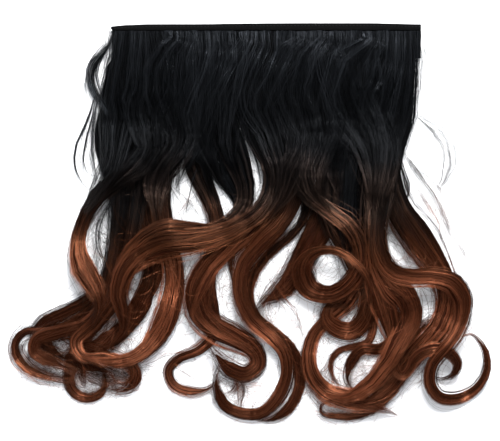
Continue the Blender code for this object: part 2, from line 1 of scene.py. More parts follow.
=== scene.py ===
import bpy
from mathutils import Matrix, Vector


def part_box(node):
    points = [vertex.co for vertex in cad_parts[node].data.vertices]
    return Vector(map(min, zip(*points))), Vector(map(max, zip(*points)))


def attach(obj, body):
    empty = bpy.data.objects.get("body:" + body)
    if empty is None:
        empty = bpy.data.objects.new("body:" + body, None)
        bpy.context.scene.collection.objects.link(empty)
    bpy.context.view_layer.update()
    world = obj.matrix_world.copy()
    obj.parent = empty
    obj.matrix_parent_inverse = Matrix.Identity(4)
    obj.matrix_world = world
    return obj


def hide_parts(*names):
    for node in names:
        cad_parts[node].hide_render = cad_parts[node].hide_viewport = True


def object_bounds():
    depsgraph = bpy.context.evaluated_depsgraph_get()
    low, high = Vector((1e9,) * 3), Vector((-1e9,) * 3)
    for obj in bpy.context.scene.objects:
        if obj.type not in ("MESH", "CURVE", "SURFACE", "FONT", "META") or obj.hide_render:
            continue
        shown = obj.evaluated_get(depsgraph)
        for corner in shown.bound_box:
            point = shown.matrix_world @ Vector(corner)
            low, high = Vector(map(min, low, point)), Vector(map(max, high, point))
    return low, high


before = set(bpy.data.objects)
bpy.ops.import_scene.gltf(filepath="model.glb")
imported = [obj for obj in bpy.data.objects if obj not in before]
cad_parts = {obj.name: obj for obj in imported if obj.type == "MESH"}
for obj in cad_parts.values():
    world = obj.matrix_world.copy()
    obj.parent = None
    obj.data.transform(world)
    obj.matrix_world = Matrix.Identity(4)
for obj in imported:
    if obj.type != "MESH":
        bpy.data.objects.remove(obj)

import copy
import math

import bpy
import numpy as np

cad_box = [list(corner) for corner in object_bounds()]


# Back row of hair
# The real row is bundles of fibre sewn by machine to a weft heading, the first of three rows on the band.
# Each bundle was curled on a round barrel, and lies on the table where the photograph shows it. Its solid
# core and its strands follow one route, whose places are shares of the weft's width and the hair's drop.
WEFT_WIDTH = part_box("weft_band")[1].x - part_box("weft_band")[0].x
BAND_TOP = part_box("weft_band")[1].y
HAIR_DROP = 0.354


def place_on_table(bend):
    """A bend's place and width in metres, from its hundredths of the weft's width and the hair's drop."""
    across, down, width = bend
    return (0.01 * across - 0.5) * WEFT_WIDTH, BAND_TOP - 0.01 * down * HAIR_DROP, 0.01 * width * WEFT_WIDTH


def smooth_route(points, steps):
    """A smooth curve through the points, which doesn't overshoot where they lie close together."""
    ends = np.vstack([2 * points[0] - points[1], points, 2 * points[-1] - points[-2]])
    route = []
    for a, b, c, d in zip(ends, ends[1:], ends[2:], ends[3:]):
        pairs = ((a, b), (b, c), (c, d))
        knots = np.cumsum([0.0] + [math.sqrt(math.dist(p[:2], q[:2])) for p, q in pairs])
        for t in np.linspace(knots[1], knots[2], steps, endpoint=False):
            first = [ease(p, q, t, knots[i], knots[i + 1]) for i, (p, q) in enumerate(pairs)]
            second = [ease(first[i], first[i + 1], t, knots[i], knots[i + 2]) for i in range(2)]
            route.append(ease(second[0], second[1], t, knots[1], knots[2]))
    route.append(points[-1])
    return np.array(route)


def ease(p, q, t, start, end):
    return ((end - t) * p + (t - start) * q) / (end - start)


CURL_STEP = 0.12
CURL_TIGHTENING = 0.25
CURL_THINNING = 0.45


def wind_curl(route, turn, radius):
    """The route with a curl at its end, which tightens and thins as it turns."""
    heading = math.atan2(route[-1][1] - route[-2][1], route[-1][0] - route[-2][0])
    x, y, width = route[-1]
    count = math.ceil(abs(turn) / CURL_STEP)
    curl = []
    for i in range(1, count + 1):
        share = i / count
        heading += turn / count
        step = radius * (1.0 - CURL_TIGHTENING * share) * abs(turn) / count
        x += step * math.cos(heading)
        y += step * math.sin(heading)
        curl.append((x, y, width * (1.0 - CURL_THINNING * share)))
    return np.vstack([route, curl])


def running(values, reach, kind):
    padded = np.pad(values, reach, mode="edge")
    windows = np.lib.stride_tricks.sliding_window_view(padded, 2 * reach + 1)
    return {"max": np.max, "min": np.min, "mean": np.mean}[kind](windows, axis=1)


# A lock is thin and flat in the black curtain under the band, and thickens to a lens where it hangs loose.
GRID = 0.0020
BEND_STEPS = 12
BEND_LIMIT = 0.8
HEADING_THICKNESS = 0.0012
CURTAIN_THICKNESS = 0.0026
CURTAIN_SHARE = 0.28
LOOSENING_SHARE = 0.2
ROOT_SHARE = 0.08
LOCK_THICKNESS = 0.0062
LOCK_FLATNESS = 0.36
CURL_RADIUS = 0.020
TIP_LENGTH = 0.030
TIP_WIDTH = 0.30
FLAT_SHARE = 0.55
EDGE_SHARE = 0.45
EDGE_RISE = 0.5
STATION_SLOPE = 0.30


class Route:
    """A lock's path, half width, thickness, dye, painted light and shade, and highlight, and, once it is
    laid, its height.
    """

    def __init__(self, points, row=None, late_browning_and_shade=0.0, brightness=1.0, highlight=None, curl=(), sewn=False):
        route = smooth_route(np.array(points), BEND_STEPS)
        if curl:
            route = wind_curl(route, math.radians(curl[0]), curl[1] * CURL_RADIUS)
        lengths = np.linalg.norm(np.diff(route[:, :2], axis=0), axis=1)
        along = np.concatenate([[0.0], np.cumsum(lengths)])
        self.row = row
        self.sewn = sewn
        self.late_browning_and_shade = late_browning_and_shade
        self.brightness = brightness
        self.highlight = highlight
        self.along = np.linspace(0.0, along[-1], math.ceil(along[-1] / GRID) + 1)
        self.place = np.stack([np.interp(self.along, along, route[:, k]) for k in (0, 1)], axis=1)
        tangent = np.gradient(self.place, axis=0)
        angle = running(np.unwrap(np.arctan2(tangent[:, 1], tangent[:, 0])), 2, "mean")
        self.turned = np.concatenate([[0.0], np.cumsum(np.abs(np.diff(angle)))])
        self.side = np.stack([-np.sin(angle), np.cos(angle)], axis=1)
        bend = running(np.abs(np.gradient(angle, self.along)), 3, "max")
        wanted = 0.5 * np.interp(self.along, along, route[:, 2])
        half = np.minimum(wanted, BEND_LIMIT / np.maximum(bend, 1e-6))
        half = running(running(half, 3, "min"), 3, "mean")
        left = self.along[-1] - self.along if sewn else np.minimum(self.along, self.along[-1] - self.along)
        self.half = half * (TIP_WIDTH + (1.0 - TIP_WIDTH) * np.clip(left / TIP_LENGTH, 0.0, 1.0))
        self.bank = np.zeros(len(half))
        self.tone = np.ones(len(half))
        down = (BAND_TOP - self.place[:, 1]) / HAIR_DROP
        full = np.minimum(2.0 * self.half * LOCK_FLATNESS, LOCK_THICKNESS)
        self.loose = np.maximum.accumulate(np.clip((down - CURTAIN_SHARE) / LOOSENING_SHARE, 0.0, 1.0))
        rooted = np.clip(self.along / (ROOT_SHARE * HAIR_DROP), 0.0, 1.0)
        curtain = HEADING_THICKNESS + (CURTAIN_THICKNESS - HEADING_THICKNESS) * rooted
        self.thick = curtain + (full - curtain) * self.loose

    def stations(self, bend, length):
        """The marks along the route that its turns, its slopes and its length need."""
        change = np.diff(self.height, 2, prepend=self.height[0], append=self.height[-1])
        turned = self.turned / bend + np.cumsum(np.abs(change) / self.along[1]) / STATION_SLOPE
        chosen = [0]
        for i in range(1, len(self.along) - 1):
            far = self.along[i + 1] - self.along[chosen[-1]] > length
            if far or turned[i + 1] - turned[chosen[-1]] > 1.0:
                chosen.append(i)
        return chosen + [len(self.along) - 1]

    def footprint(self, reach):
        """Places across the lock, and how far its underside rises there towards its rounded edges."""
        shares = np.linspace(-reach, reach, 9)
        places = self.place[:, None, :] + self.side[:, None, :] * (shares * self.half[:, None])[..., None]
        rise = np.clip((np.abs(shares) - FLAT_SHARE) / EDGE_SHARE, 0.0, 1.0) * EDGE_RISE
        return places, rise * self.thick[:, None]


# Locks are laid one after another, as a dresser arranges them, each over what it crosses.
ROW_NAMES = ("back_hair", "middle_hair", "front_hair")
HEADING_HEIGHT = 0.006
HEADING_Z = 0.0044
SEAM = 0.0003
TABLE_MARGIN = 0.03
LAY_GAP = 0.0005
SINK_SHARE = 0.55
SINK_WIDTH = 0.4
STEEPEST = 0.30
SETTLE_SHARE = 0.25
OWN_REACH = 2.5
SWELL = 0.0010
SWELL_LENGTH = 0.062
SWELL_STEP = 0.031
PAINTED_BANDS = 0.36
BANK = 0.14
BANK_REACH = 0.026
PAINTED_HIGHLIGHT = 0.80
PAINTED_SHADE_OFF_HIGHLIGHT = 0.30


class Pile:
    """The heights of what lies on the table, on a square grid, a layer for each row of hair."""

    def __init__(self, low, high):
        self.low = np.array(low) - TABLE_MARGIN
        self.size = np.ceil((np.array(high) + TABLE_MARGIN - self.low) / GRID).astype(int) + 1
        self.layers = np.zeros((len(ROW_NAMES) + 1, *self.size))
        self.laid = 0

    def cells(self, places):
        cells = np.clip(np.round((places - self.low) / GRID).astype(int), 1, self.size - 2)
        return cells[..., 0], cells[..., 1]

    def top(self, layers, places, spread):
        if not len(layers):
            return np.zeros(places.shape[:-1])
        across, down = self.cells(places)
        field = self.layers[layers].max(axis=0)
        reach = range(-spread, spread + 1)
        return np.max([field[across + dx, down + dy] for dx in reach for dy in reach], axis=0)

    def lay(self, route, row):
        """Lays a lock clear of the rows below, and half sunk in the locks of its own row."""
        places, rise = route.footprint(1.0)
        need = (self.top(np.arange(row), places, 1) - rise).max(axis=1)
        need = np.where(need > 0.0, need + LAY_GAP, 0.0)
        same = self.top([row], route.footprint(SINK_WIDTH)[0], 0).max(axis=1)
        need = np.maximum(need, (same - SINK_SHARE * route.thick) * route.loose)
        if route.row is not None:
            need[route.along < HEADING_HEIGHT] = HEADING_Z + row * (HEADING_THICKNESS + SEAM)
        route.height = self.settle(need, route.along[1])
        for _ in range(2):
            route.height = self.settle(np.maximum(need, self.over_itself(route)), route.along[1])
        self.swell(route)
        tops = route.height[:, None] + route.thick[:, None] - rise
        np.maximum.at(self.layers[row], self.cells(places), tops)

    def swell(self, route):
        """Waves a lock's loose part up and down, banks it where its highlight lies, and paints light and
        shade on it.
        """
        self.laid += 1
        crest = SWELL_STEP * self.laid
        if route.highlight:
            crest = route.along[np.linalg.norm(route.place - route.highlight, axis=1).argmin()]
        phase = 2.0 * math.pi * (route.along - crest) / SWELL_LENGTH
        if route.highlight:
            near = np.exp(-((route.along - crest) / BANK_REACH) ** 2)
            route.bank = -BANK * route.side[:, 1] * near
            # Painted highlight at the crest, and painted shade on the rest of the loose part.
            route.tone = 1.0 + route.loose * (PAINTED_HIGHLIGHT * near - PAINTED_SHADE_OFF_HIGHLIGHT)
        else:
            # Painted light and dark bands along the loose part, brightest where its wave climbs most steeply.
            route.tone = 1.0 + PAINTED_BANDS * route.loose * np.cos(phase)
        wave = SWELL * (1.0 + np.sin(phase)) * route.loose
        route.height = route.height + wave + np.abs(route.bank) * route.half

    def settle(self, need, step_length):
        """The smooth height over what a lock needs, nowhere steeper than a lock can climb."""
        reach = max(2, round(SETTLE_SHARE * CURL_RADIUS / GRID))
        height = np.maximum(running(running(need, reach, "max"), reach, "mean"), need)
        fall = STEEPEST * step_length
        for step in (1, -1):
            for i in range(len(height))[::step][1:]:
                height[i] = max(height[i], height[i - step] - fall)
        return running(height, 4, "mean")

    def over_itself(self, route):
        need = np.zeros(len(route.along))
        for i in range(len(need)):
            earlier = route.along < route.along[i] - OWN_REACH * (route.half + route.half[i])
            close = np.linalg.norm(route.place - route.place[i], axis=1) < route.half + route.half[i] + GRID
            if (earlier & close).any():
                need[i] = (route.height + route.thick)[earlier & close].max() + LAY_GAP
        return need


def node(tree, kind, *values, **settings):
    """Adds a node: its settings by name, and its inputs in order, from a socket, a value, or None to skip."""
    made = tree.nodes.new(kind)
    for key, value in settings.items():
        setattr(made, key, value)
    for socket, value in zip([s for s in made.inputs if s.enabled], values):
        if isinstance(value, bpy.types.NodeSocket):
            tree.links.new(value, socket)
        elif value is not None:
            socket.default_value = value
    return next(s for s in made.outputs if s.enabled) if made.outputs else made


def calc(tree, operation, *values):
    return node(tree, "ShaderNodeMath", *values, operation=operation)


def new_material(name, roughness, **levels):
    material = bpy.data.materials.new(name)
    material.use_nodes = True
    shader = material.node_tree.nodes["Principled BSDF"].inputs
    shader["Roughness"].default_value = roughness
    for level, value in levels.items():
        shader[level.replace("_", " ")].default_value = value
    return material, material.node_tree, shader


# The dye's colours, and the tints of the strands' sheen, each at a share of the hair's drop.
HAIR_STOPS = (
    (0.34, (0.0013, 0.0014, 0.0018)),
    (0.40, (0.0042, 0.0027, 0.0024)),
    (0.46, (0.0170, 0.0052, 0.0026)),
    (0.54, (0.0460, 0.0098, 0.0030)),
    (1.00, (0.0500, 0.0106, 0.0032)),
)
SHEEN_STOPS = (
    (0.05, (0.150, 0.165, 0.190)),
    (0.15, (0.095, 0.103, 0.115)),
    (0.27, (0.052, 0.053, 0.057)),
    (0.41, (0.22, 0.135, 0.10)),
    (0.50, (0.60, 0.230, 0.11)),
    (0.58, (1.00, 0.355, 0.18)),
)
DYE_PATCH_SCALE = 9.0
DYE_PATCHES = 0.16
DYE_BY_SHADE = 0.04
DYE_RISE = 0.10


def ombre(tree, shade, low, high, stops):
    """A colour by the place down the hair, black at the band and brown in the curls, times its shade, which
    for strands carries painted light and shade.
    """
    late_browning_and_shade = node(tree, "ShaderNodeAttribute", attribute_name="late_browning_and_shade").node.outputs["Fac"]
    place = node(tree, "ShaderNodeTexCoord").node.outputs["Object"]
    parts = node(tree, "ShaderNodeSeparateXYZ", place).node.outputs
    patches = node(tree, "ShaderNodeTexNoise", place, DYE_PATCH_SCALE, 2.0)
    down = calc(tree, "MULTIPLY_ADD", parts["Y"], -1.0 / HAIR_DROP, BAND_TOP / HAIR_DROP)
    shaded = calc(tree, "MULTIPLY_ADD", shade, DYE_BY_SHADE, down)
    mixed = calc(tree, "MULTIPLY_ADD", patches, DYE_PATCHES, shaded)
    share = calc(tree, "SUBTRACT", calc(tree, "SUBTRACT", mixed, DYE_RISE), late_browning_and_shade)
    ramp = node(tree, "ShaderNodeValToRGB", share).node
    while len(ramp.color_ramp.elements) < len(stops):
        ramp.color_ramp.elements.new(0.5)
    for element, (at, colour) in zip(ramp.color_ramp.elements, stops):
        element.position = at
        element.color = (*colour, 1.0)
    lit = node(tree, "ShaderNodeMapRange", shade, 0.0, 1.0, low, high)
    colour = ramp.outputs["Color"]
    return node(tree, "ShaderNodeMix", 1.0, colour, lit, data_type="RGBA", blend_type="MULTIPLY")


strand_finish, strand_nodes, strand_shader = new_material(
    "hair_strands", 0.30, Specular_IOR_Level=1.0, IOR=1.75)
strand_shade = node(strand_nodes, "ShaderNodeAttribute", attribute_name="shade").node.outputs["Fac"]
strand_dye_and_painted_light = ombre(strand_nodes, strand_shade, 0.02, 1.55, HAIR_STOPS)
strand_sheen = ombre(strand_nodes, strand_shade, 0.05, 1.9, SHEEN_STOPS)
strand_nodes.links.new(strand_dye_and_painted_light, strand_shader["Base Color"])
strand_nodes.links.new(strand_sheen, strand_shader["Specular Tint"])

# The cores are painted darker than the strands, as painted shade between the strands; the headings share this
# finish.
core_finish, core_nodes, core_shader = new_material("hair_core", 0.7, Specular_IOR_Level=0.03)
combed = node(core_nodes, "ShaderNodeAttribute", attribute_name="comb").node.outputs["Vector"]
streak = node(core_nodes, "ShaderNodeTexNoise", combed, 1.0, 3.0)
core_nodes.links.new(ombre(core_nodes, streak, 0.10, 0.8, HAIR_STOPS), core_shader["Base Color"])
core_nodes.links.new(node(core_nodes, "ShaderNodeBump", 0.6, 0.0004, None, streak), core_shader["Normal"])


def new_tree(name, inputs):
    """A Geometry Nodes tree from geometry to geometry, with its named inputs, and those inputs' sockets."""
    tree = bpy.data.node_groups.new(name, "GeometryNodeTree")
    tree.interface.new_socket("Geometry", in_out="INPUT", socket_type="NodeSocketGeometry")
    for label, kind, value in inputs:
        socket = tree.interface.new_socket(label, in_out="INPUT", socket_type="NodeSocket" + kind)
        if value is not None:
            socket.default_value = value
    tree.interface.new_socket("Geometry", in_out="OUTPUT", socket_type="NodeSocketGeometry")
    return tree, node(tree, "NodeGroupInput").node.outputs


STRANDS_PER_METRE = (4900.0, 6500.0, 7400.0)
STRAND_WIDTH = 0.00034
STRAND_DEPTH = 0.00026
STRAND_WANDER = 0.3
RAGGED_TIP = 0.022
CLUMP_WIDTH = 0.0019
CLUMP_OFFSET = 0.3
CLUMP_SPREAD = 1.9
DEEPEST = 0.7
STRAY_SHARE = 0.90
STATION_BEND = math.radians(20.0)
STATION_LENGTH = 0.024


def strand_tree():
    """Strands along each route: copies of its line, moved into clumps inside its section, made round."""
    tree, given = new_tree("strands_on_routes", (
        ("Strand width", "Float", STRAND_WIDTH), ("Strand depth", "Float", STRAND_DEPTH),
        ("Wander", "Float", STRAND_WANDER), ("Ragged tip", "Float", RAGGED_TIP), ("Seed", "Int", 1),
        ("Finish", "Material", None)))

    def held(name, kind="FLOAT"):
        return node(tree, "GeometryNodeInputNamedAttribute", name, data_type=kind)

    def keep(geometry, name, value, domain="CURVE"):
        return node(tree, "GeometryNodeStoreNamedAttribute", geometry, True, name, value, domain=domain)

    def plus(a, b):
        return calc(tree, "ADD", a, b)

    def less(a, b):
        return calc(tree, "SUBTRACT", a, b)

    def times(a, b, then_add=None):
        return calc(tree, "MULTIPLY" if then_add is None else "MULTIPLY_ADD", a, b, then_add)

    def power(a, b):
        return calc(tree, "POWER", a, b)

    def at_most(a, b):
        return calc(tree, "MINIMUM", a, b)

    def at_least(a, b):
        return calc(tree, "MAXIMUM", a, b)

    def chance(low, high, number, extra):
        seed = plus(given["Seed"], extra)
        return node(tree, "FunctionNodeRandomValue", low, high, number, seed, data_type="FLOAT")

    # Each strand is a copy of its lock's line, with a clump in the lock, a place in the clump, and a dye with
    # painted shade that darkens it the deeper it lies.
    lines = node(tree, "GeometryNodeMeshToCurve", given["Geometry"])
    copies = node(tree, "GeometryNodeDuplicateElements", lines, True, held("strands", "INT"), domain="SPLINE")
    number = node(tree, "GeometryNodeInputIndex")
    clumps = held("clumps")
    clump = calc(tree, "FLOOR", times(chance(0.0, 0.9999, number, 1.0), clumps))
    clump_number = times(held("lock", "INT"), 97.0, clump)
    middle = plus(plus(clump, 0.5), chance(-CLUMP_OFFSET, CLUMP_OFFSET, clump_number, 2.0))
    middle = times(calc(tree, "DIVIDE", middle, clumps), 2.0, -1.0)
    across = times(plus(chance(-1.0, 1.0, number, 3.0), chance(-1.0, 1.0, number, 4.0)), 0.5)
    deep = times(power(chance(0.0, 1.0, number, 5.0), 1.7), DEEPEST)
    own_dye = times(chance(0.0, 1.0, number, 7.0), 0.40)
    dye_and_depth_shade = times(power(chance(0.0, 1.0, clump_number, 6.0), 1.6), 0.95, own_dye)
    # Painted shade: the deeper a strand lies in its lock, the darker its dye.
    dye_and_depth_shade = times(dye_and_depth_shade, times(deep, -1.2, 1.0))
    marked = copies
    for name, value in (("middle", middle), ("across", across), ("deep", deep), ("dye_and_depth_shade", dye_and_depth_shade),
                        ("clump", clump_number), ("strand", number)):
        marked = keep(marked, name, value)
    # Its shade is its dye times the painted light and shade of its lock at that place.
    marked = keep(marked, "shade", times(held("dye_and_depth_shade"), held("painted_light")), "POINT")

    share = held("share")
    loose = held("loose")
    give = at_least(loose, at_most(times(share, 5.0), 0.45))

    def drift(which, rate, amount):
        """A slow wave along a strand or its clump, which starts small at the root."""
        where = node(tree, "ShaderNodeCombineXYZ", times(which, 3.37), times(share, rate), 0.5)
        wave = less(node(tree, "ShaderNodeTexNoise", where, 1.0, 0.0), 0.5)
        return times(times(wave, give), amount)

    # The strand's place across the lock, -1 and 1 at its edges, a little wider in the black curtain.
    stray = calc(tree, "GREATER_THAN", chance(0.0, 1.0, held("strand"), 9.0), STRAY_SHARE)
    sideways = times(held("across"), calc(tree, "DIVIDE", CLUMP_SPREAD, clumps), held("middle"))
    sideways = times(sideways, times(at_most(times(loose, 6.0), 1.0), -0.2, 1.2))
    sideways = plus(sideways, drift(held("clump"), 7.0, times(given["Wander"], 3.0)))
    sideways = plus(sideways, drift(held("strand"), 5.0, times(given["Wander"], times(stray, 6.0, 1.2))))

    # Its height in the lock's lens-shaped section, with each clump a small ridge.
    inside = power(at_most(calc(tree, "ABSOLUTE", sideways), 1.0), 2.4)
    lens = less(1.0, times(inside, loose))
    height = times(times(lens, 0.5), times(held("deep"), -1.7, 0.85))
    ridge = times(times(held("across"), held("across")), -0.22, 0.14)
    height = plus(plus(height, ridge), drift(held("clump"), 11.0, given["Wander"]))
    height = at_least(plus(height, 0.5), 0.05)

    offset = node(tree, "ShaderNodeVectorMath", held("side", "FLOAT_VECTOR"), times(held("half"), sideways),
                  operation="SCALE")
    banked = times(held("bank"), sideways, times(held("thick"), height))
    rise = node(tree, "ShaderNodeCombineXYZ", 0.0, 0.0, banked)
    offset = node(tree, "ShaderNodeVectorMath", offset, rise, operation="ADD")
    moved = node(tree, "GeometryNodeSetPosition", marked, True, None, offset)

    # Its end, and a loose bundle's start, stops a little short of the line's, and its section is a triangle.
    ragged = calc(tree, "DIVIDE", given["Ragged tip"], held("length"))
    ends = less(1.0, times(power(chance(0.0, 1.0, number, 8.0), 2.0), ragged))
    starts = times(times(chance(0.0, 1.0, number, 10.0), ragged), held("free"))
    cut = node(tree, "GeometryNodeTrimCurve", moved, True, starts, ends)
    upright = node(tree, "GeometryNodeSetCurveNormal", cut, mode="Z_UP")
    factor = node(tree, "GeometryNodeSplineParameter").node.outputs["Factor"]
    path = keep(upright, "along", factor, "POINT")
    triangle = node(tree, "GeometryNodeCurvePrimitiveCircle", 3, 0.5)
    size = node(tree, "ShaderNodeCombineXYZ", given["Strand depth"], given["Strand width"], 1.0)
    profile = node(tree, "GeometryNodeTransform", triangle, None, None, size)
    profile = keep(profile, "around", calc(tree, "DIVIDE", number, 3.0), "POINT")
    taper = node(tree, "ShaderNodeMapRange", factor, 0.85, 1.0, 1.0, 0.25)
    tubes = node(tree, "GeometryNodeCurveToMesh", path, profile, taper, True)
    smooth = node(tree, "GeometryNodeSetShadeSmooth", tubes, True, True)
    solid = node(tree, "GeometryNodeRealizeInstances", smooth)
    node(tree, "NodeGroupOutput", node(tree, "GeometryNodeSetMaterial", solid, True, given["Finish"]))
    return tree


STRANDS = strand_tree()


def add_object(name, data):
    thing = bpy.data.objects.new(name, data)
    bpy.context.scene.collection.objects.link(thing)
    return thing


def add_mesh(name, vertices, edges, faces):
    mesh = bpy.data.meshes.new(name)
    mesh.from_pydata(vertices, edges, faces)
    return add_object(name, mesh)


def finish_mesh(thing, finish):
    thing.data.materials.append(finish)
    thing.data.shade_smooth()
    return thing


def grow_on(guide, tree, name, values):
    """What a Geometry Nodes tree makes on a guide, as one plain mesh; the guide itself goes."""
    grown = guide.modifiers.new("grown", "NODES")
    grown.node_group = tree
    sockets = {item.name: item.identifier for item in tree.interface.items_tree if item.in_out == "INPUT"}
    for key, value in values:
        grown[sockets[key]] = value
    graph = bpy.context.evaluated_depsgraph_get()
    made = bpy.data.meshes.new_from_object(guide.evaluated_get(graph))
    bpy.data.objects.remove(guide)
    return add_object(name, made)


STRAND_COLUMNS = (
    ("share", "FLOAT"), ("length", "FLOAT"), ("half", "FLOAT"), ("thick", "FLOAT"), ("loose", "FLOAT"),
    ("free", "FLOAT"), ("late_browning_and_shade", "FLOAT"), ("painted_light", "FLOAT"), ("bank", "FLOAT"), ("clumps", "FLOAT"),
    ("strands", "INT"), ("lock", "INT"), ("side", "FLOAT_VECTOR"),
)


def grow_strands(name, counted_routes, width, depth, wander, seed, ragged=RAGGED_TIP):
    """The strands of a group of routes, as one plain mesh, each with a column of its own in the UV map."""
    places = []
    edges = []
    rows = []
    for lock, (route, count) in enumerate(counted_routes):
        first = len(places)
        clumps = max(2.0, round(2.0 * float(np.mean(route.half)) / CLUMP_WIDTH))
        for i in route.stations(STATION_BEND, STATION_LENGTH):
            places.append((*route.place[i], route.height[i]))
            rows.append((
                route.along[i] / route.along[-1], route.along[-1], route.half[i], route.thick[i],
                route.loose[i], 0.0 if route.sewn else 1.0, route.late_browning_and_shade, route.brightness * route.tone[i],
                route.bank[i] * route.half[i], clumps, count, lock, (*route.side[i], 0.0)))
        edges += [(i, i + 1) for i in range(first, len(places) - 1)]
    lines = add_mesh(name + "_routes", places, edges, [])
    for (key, kind), values in zip(STRAND_COLUMNS, zip(*rows)):
        field = "vector" if kind == "FLOAT_VECTOR" else "value"
        lines.data.attributes.new(key, kind, "POINT").data.foreach_set(field, np.array(values).ravel())
    strands = grow_on(lines, STRANDS, name, (
        ("Strand width", width), ("Strand depth", depth), ("Wander", wander), ("Ragged tip", ragged),
        ("Seed", seed), ("Finish", strand_finish)))
    held = {}
    for key in ("strand", "around", "along"):
        held[key] = np.empty(len(strands.data.vertices))
        strands.data.attributes[key].data.foreach_get("value", held[key])
    column = np.unique(held["strand"], return_inverse=True)[1]
    corners = np.empty(len(strands.data.loops), dtype=int)
    strands.data.loops.foreach_get("vertex_index", corners)
    spread = np.stack([(column + 0.2 + 0.6 * held["around"]) / (column.max() + 1), held["along"]], axis=1)
    strands.data.uv_layers.new(name="OFBake").data.foreach_set("uv", spread[corners].ravel())
    return strands


def strand_counts(routes, per_metre):
    """Each route with its number of strands, by its mean width."""
    return [(route, round(per_metre * float(np.mean(route.half)) * 2.0)) for route in routes]


CORE_SIDES = 14
CORE_INSET = 0.008
CORE_TAPER = 0.024
CORE_LEAST_TAPER = 0.15
CORE_LEAST_WIDTH = 0.0060
CORE_NARROWING = 0.16
CORE_DEPTH = 0.74
CORE_LIFT = 0.02
CORE_STATION_SHARE = 0.7
CORE_LENGTH_SHARE = 0.4
COMB_ACROSS = 900.0
COMB_ALONG = 14.0
COMB_STEP = 17.0


def sweep_cores(name, routes):
    """The dense middle of each lock: a lens-shaped section along its route, closed at both ends."""
    vertices = []
    faces = []
    comb = []
    late_browning_and_shade = []
    angles = np.linspace(0.0, 2.0 * math.pi, CORE_SIDES, endpoint=False)
    across = np.sign(np.cos(angles)) * np.abs(np.cos(angles)) ** 0.8
    up = 0.5 + 0.5 * np.sign(np.sin(angles)) * np.abs(np.sin(angles)) ** 0.9
    for k, route in enumerate(routes):
        to_end = route.along[-1] - route.along
        if not route.sewn:
            to_end = np.minimum(route.along, to_end)
        full = np.clip((to_end - CORE_INSET) / CORE_TAPER, CORE_LEAST_TAPER, 1.0)
        marks = route.stations(STATION_BEND * CORE_STATION_SHARE, STATION_LENGTH * CORE_LENGTH_SHARE)
        marks = [i for i in marks if to_end[i] >= CORE_INSET]
        for n, i in enumerate(marks):
            half = route.half[i] * (1.0 - CORE_NARROWING * route.loose[i]) * full[i]
            thick = route.thick[i] * CORE_DEPTH * full[i]
            base = route.height[i] + CORE_LIFT * route.thick[i]
            for a in range(CORE_SIDES):
                x, y = route.place[i] + route.side[i] * across[a] * half
                vertices.append((x, y, base + up[a] * thick + route.bank[i] * across[a] * half))
                streaks = across[a] * half * COMB_ACROSS + COMB_STEP * k
                comb.append((streaks, route.along[i] * COMB_ALONG, up[a]))
                late_browning_and_shade.append(route.late_browning_and_shade)
            if n:
                ring = len(vertices) - CORE_SIDES
                for a in range(CORE_SIDES):
                    b = (a + 1) % CORE_SIDES
                    faces.append((ring - CORE_SIDES + a, ring + a, ring + b, ring - CORE_SIDES + b))
        first = len(vertices) - CORE_SIDES * len(marks)
        faces.append(tuple(range(first, first + CORE_SIDES)))
        faces.append(tuple(range(len(vertices) - 1, len(vertices) - 1 - CORE_SIDES, -1)))
    cores = add_mesh(name, vertices, [], faces)
    columns = cores.data.attributes
    columns.new("comb", "FLOAT_VECTOR", "POINT").data.foreach_set("vector", np.array(comb).ravel())
    columns.new("late_browning_and_shade", "FLOAT", "POINT").data.foreach_set("value", late_browning_and_shade)
    return finish_mesh(cores, core_finish)


def sweep_strip(name, rings, finish):
    """A closed solid through rings of points, each ring anticlockwise as seen from the last one's side."""
    corners = len(rings[0])
    faces = []
    for start in range(0, corners * (len(rings) - 1), corners):
        for a in range(corners):
            b = (a + 1) % corners
            faces.append((start + a, start + b, start + corners + b, start + corners + a))
    faces.append(tuple(reversed(range(corners))))
    faces.append(tuple(range(corners * (len(rings) - 1), corners * len(rings))))
    return finish_mesh(add_mesh(name, [point for ring in rings for point in ring], [], faces), finish)


HEADING_DROP = 0.0069
HEADING_ENDS = (0.008, 0.975)
HEADING_STATIONS = 60
HEADING_SECTION = ((0, 0), (1, 0), (1, 0.5), (0.9, 0.7), (0.1, 0.7), (0, 0.5))
ROOT_LAP = 0.003
ROOT_DOWN = 0.12
VEIL_STRAIGHT = 2.5


def rooted_routes(row, locks):
    """The routes of locks that are sewn to their row's heading, each as wide there as its share of it."""
    roots = sorted(lock[0] for lock in locks.values())
    edges = [HEADING_ENDS[0]] + [0.5 * (a + b) for a, b in zip(roots, roots[1:])] + [HEADING_ENDS[1]]
    start = BAND_TOP - HEADING_DROP - HEADING_HEIGHT * (len(ROW_NAMES) - 1 - row)
    routes = []
    for root, late_browning_and_shade, brightness, highlight, bends, curl in locks.values():
        k = roots.index(root)
        width = (edges[k + 1] - edges[k]) * WEFT_WIDTH + ROOT_LAP
        x = (0.5 * (edges[k] + edges[k + 1]) - 0.5) * WEFT_WIDTH
        points = [(x, start, width), (x, BAND_TOP - ROOT_DOWN * HAIR_DROP, width)]
        points += [place_on_table(bend) for bend in bends]
        if highlight:
            highlight = place_on_table((*highlight, 0.0))[:2]
        routes.append(Route(points, row, 0.01 * late_browning_and_shade, brightness, highlight, curl, True))
    return routes


def loose_routes(bundles, sewn=False):
    """The routes of bundles with no root in a heading; sewn ones hang straight at first, at full width."""
    routes = []
    for late_browning_and_shade, brightness, bends in bundles.values():
        if sewn:
            x, down, width = bends[0]
            bends = (bends[0], (x, down + VEIL_STRAIGHT, width), *bends[1:])
        points = [place_on_table(bend) for bend in bends]
        routes.append(Route(points, None, 0.01 * late_browning_and_shade, brightness, sewn=sewn))
    return routes


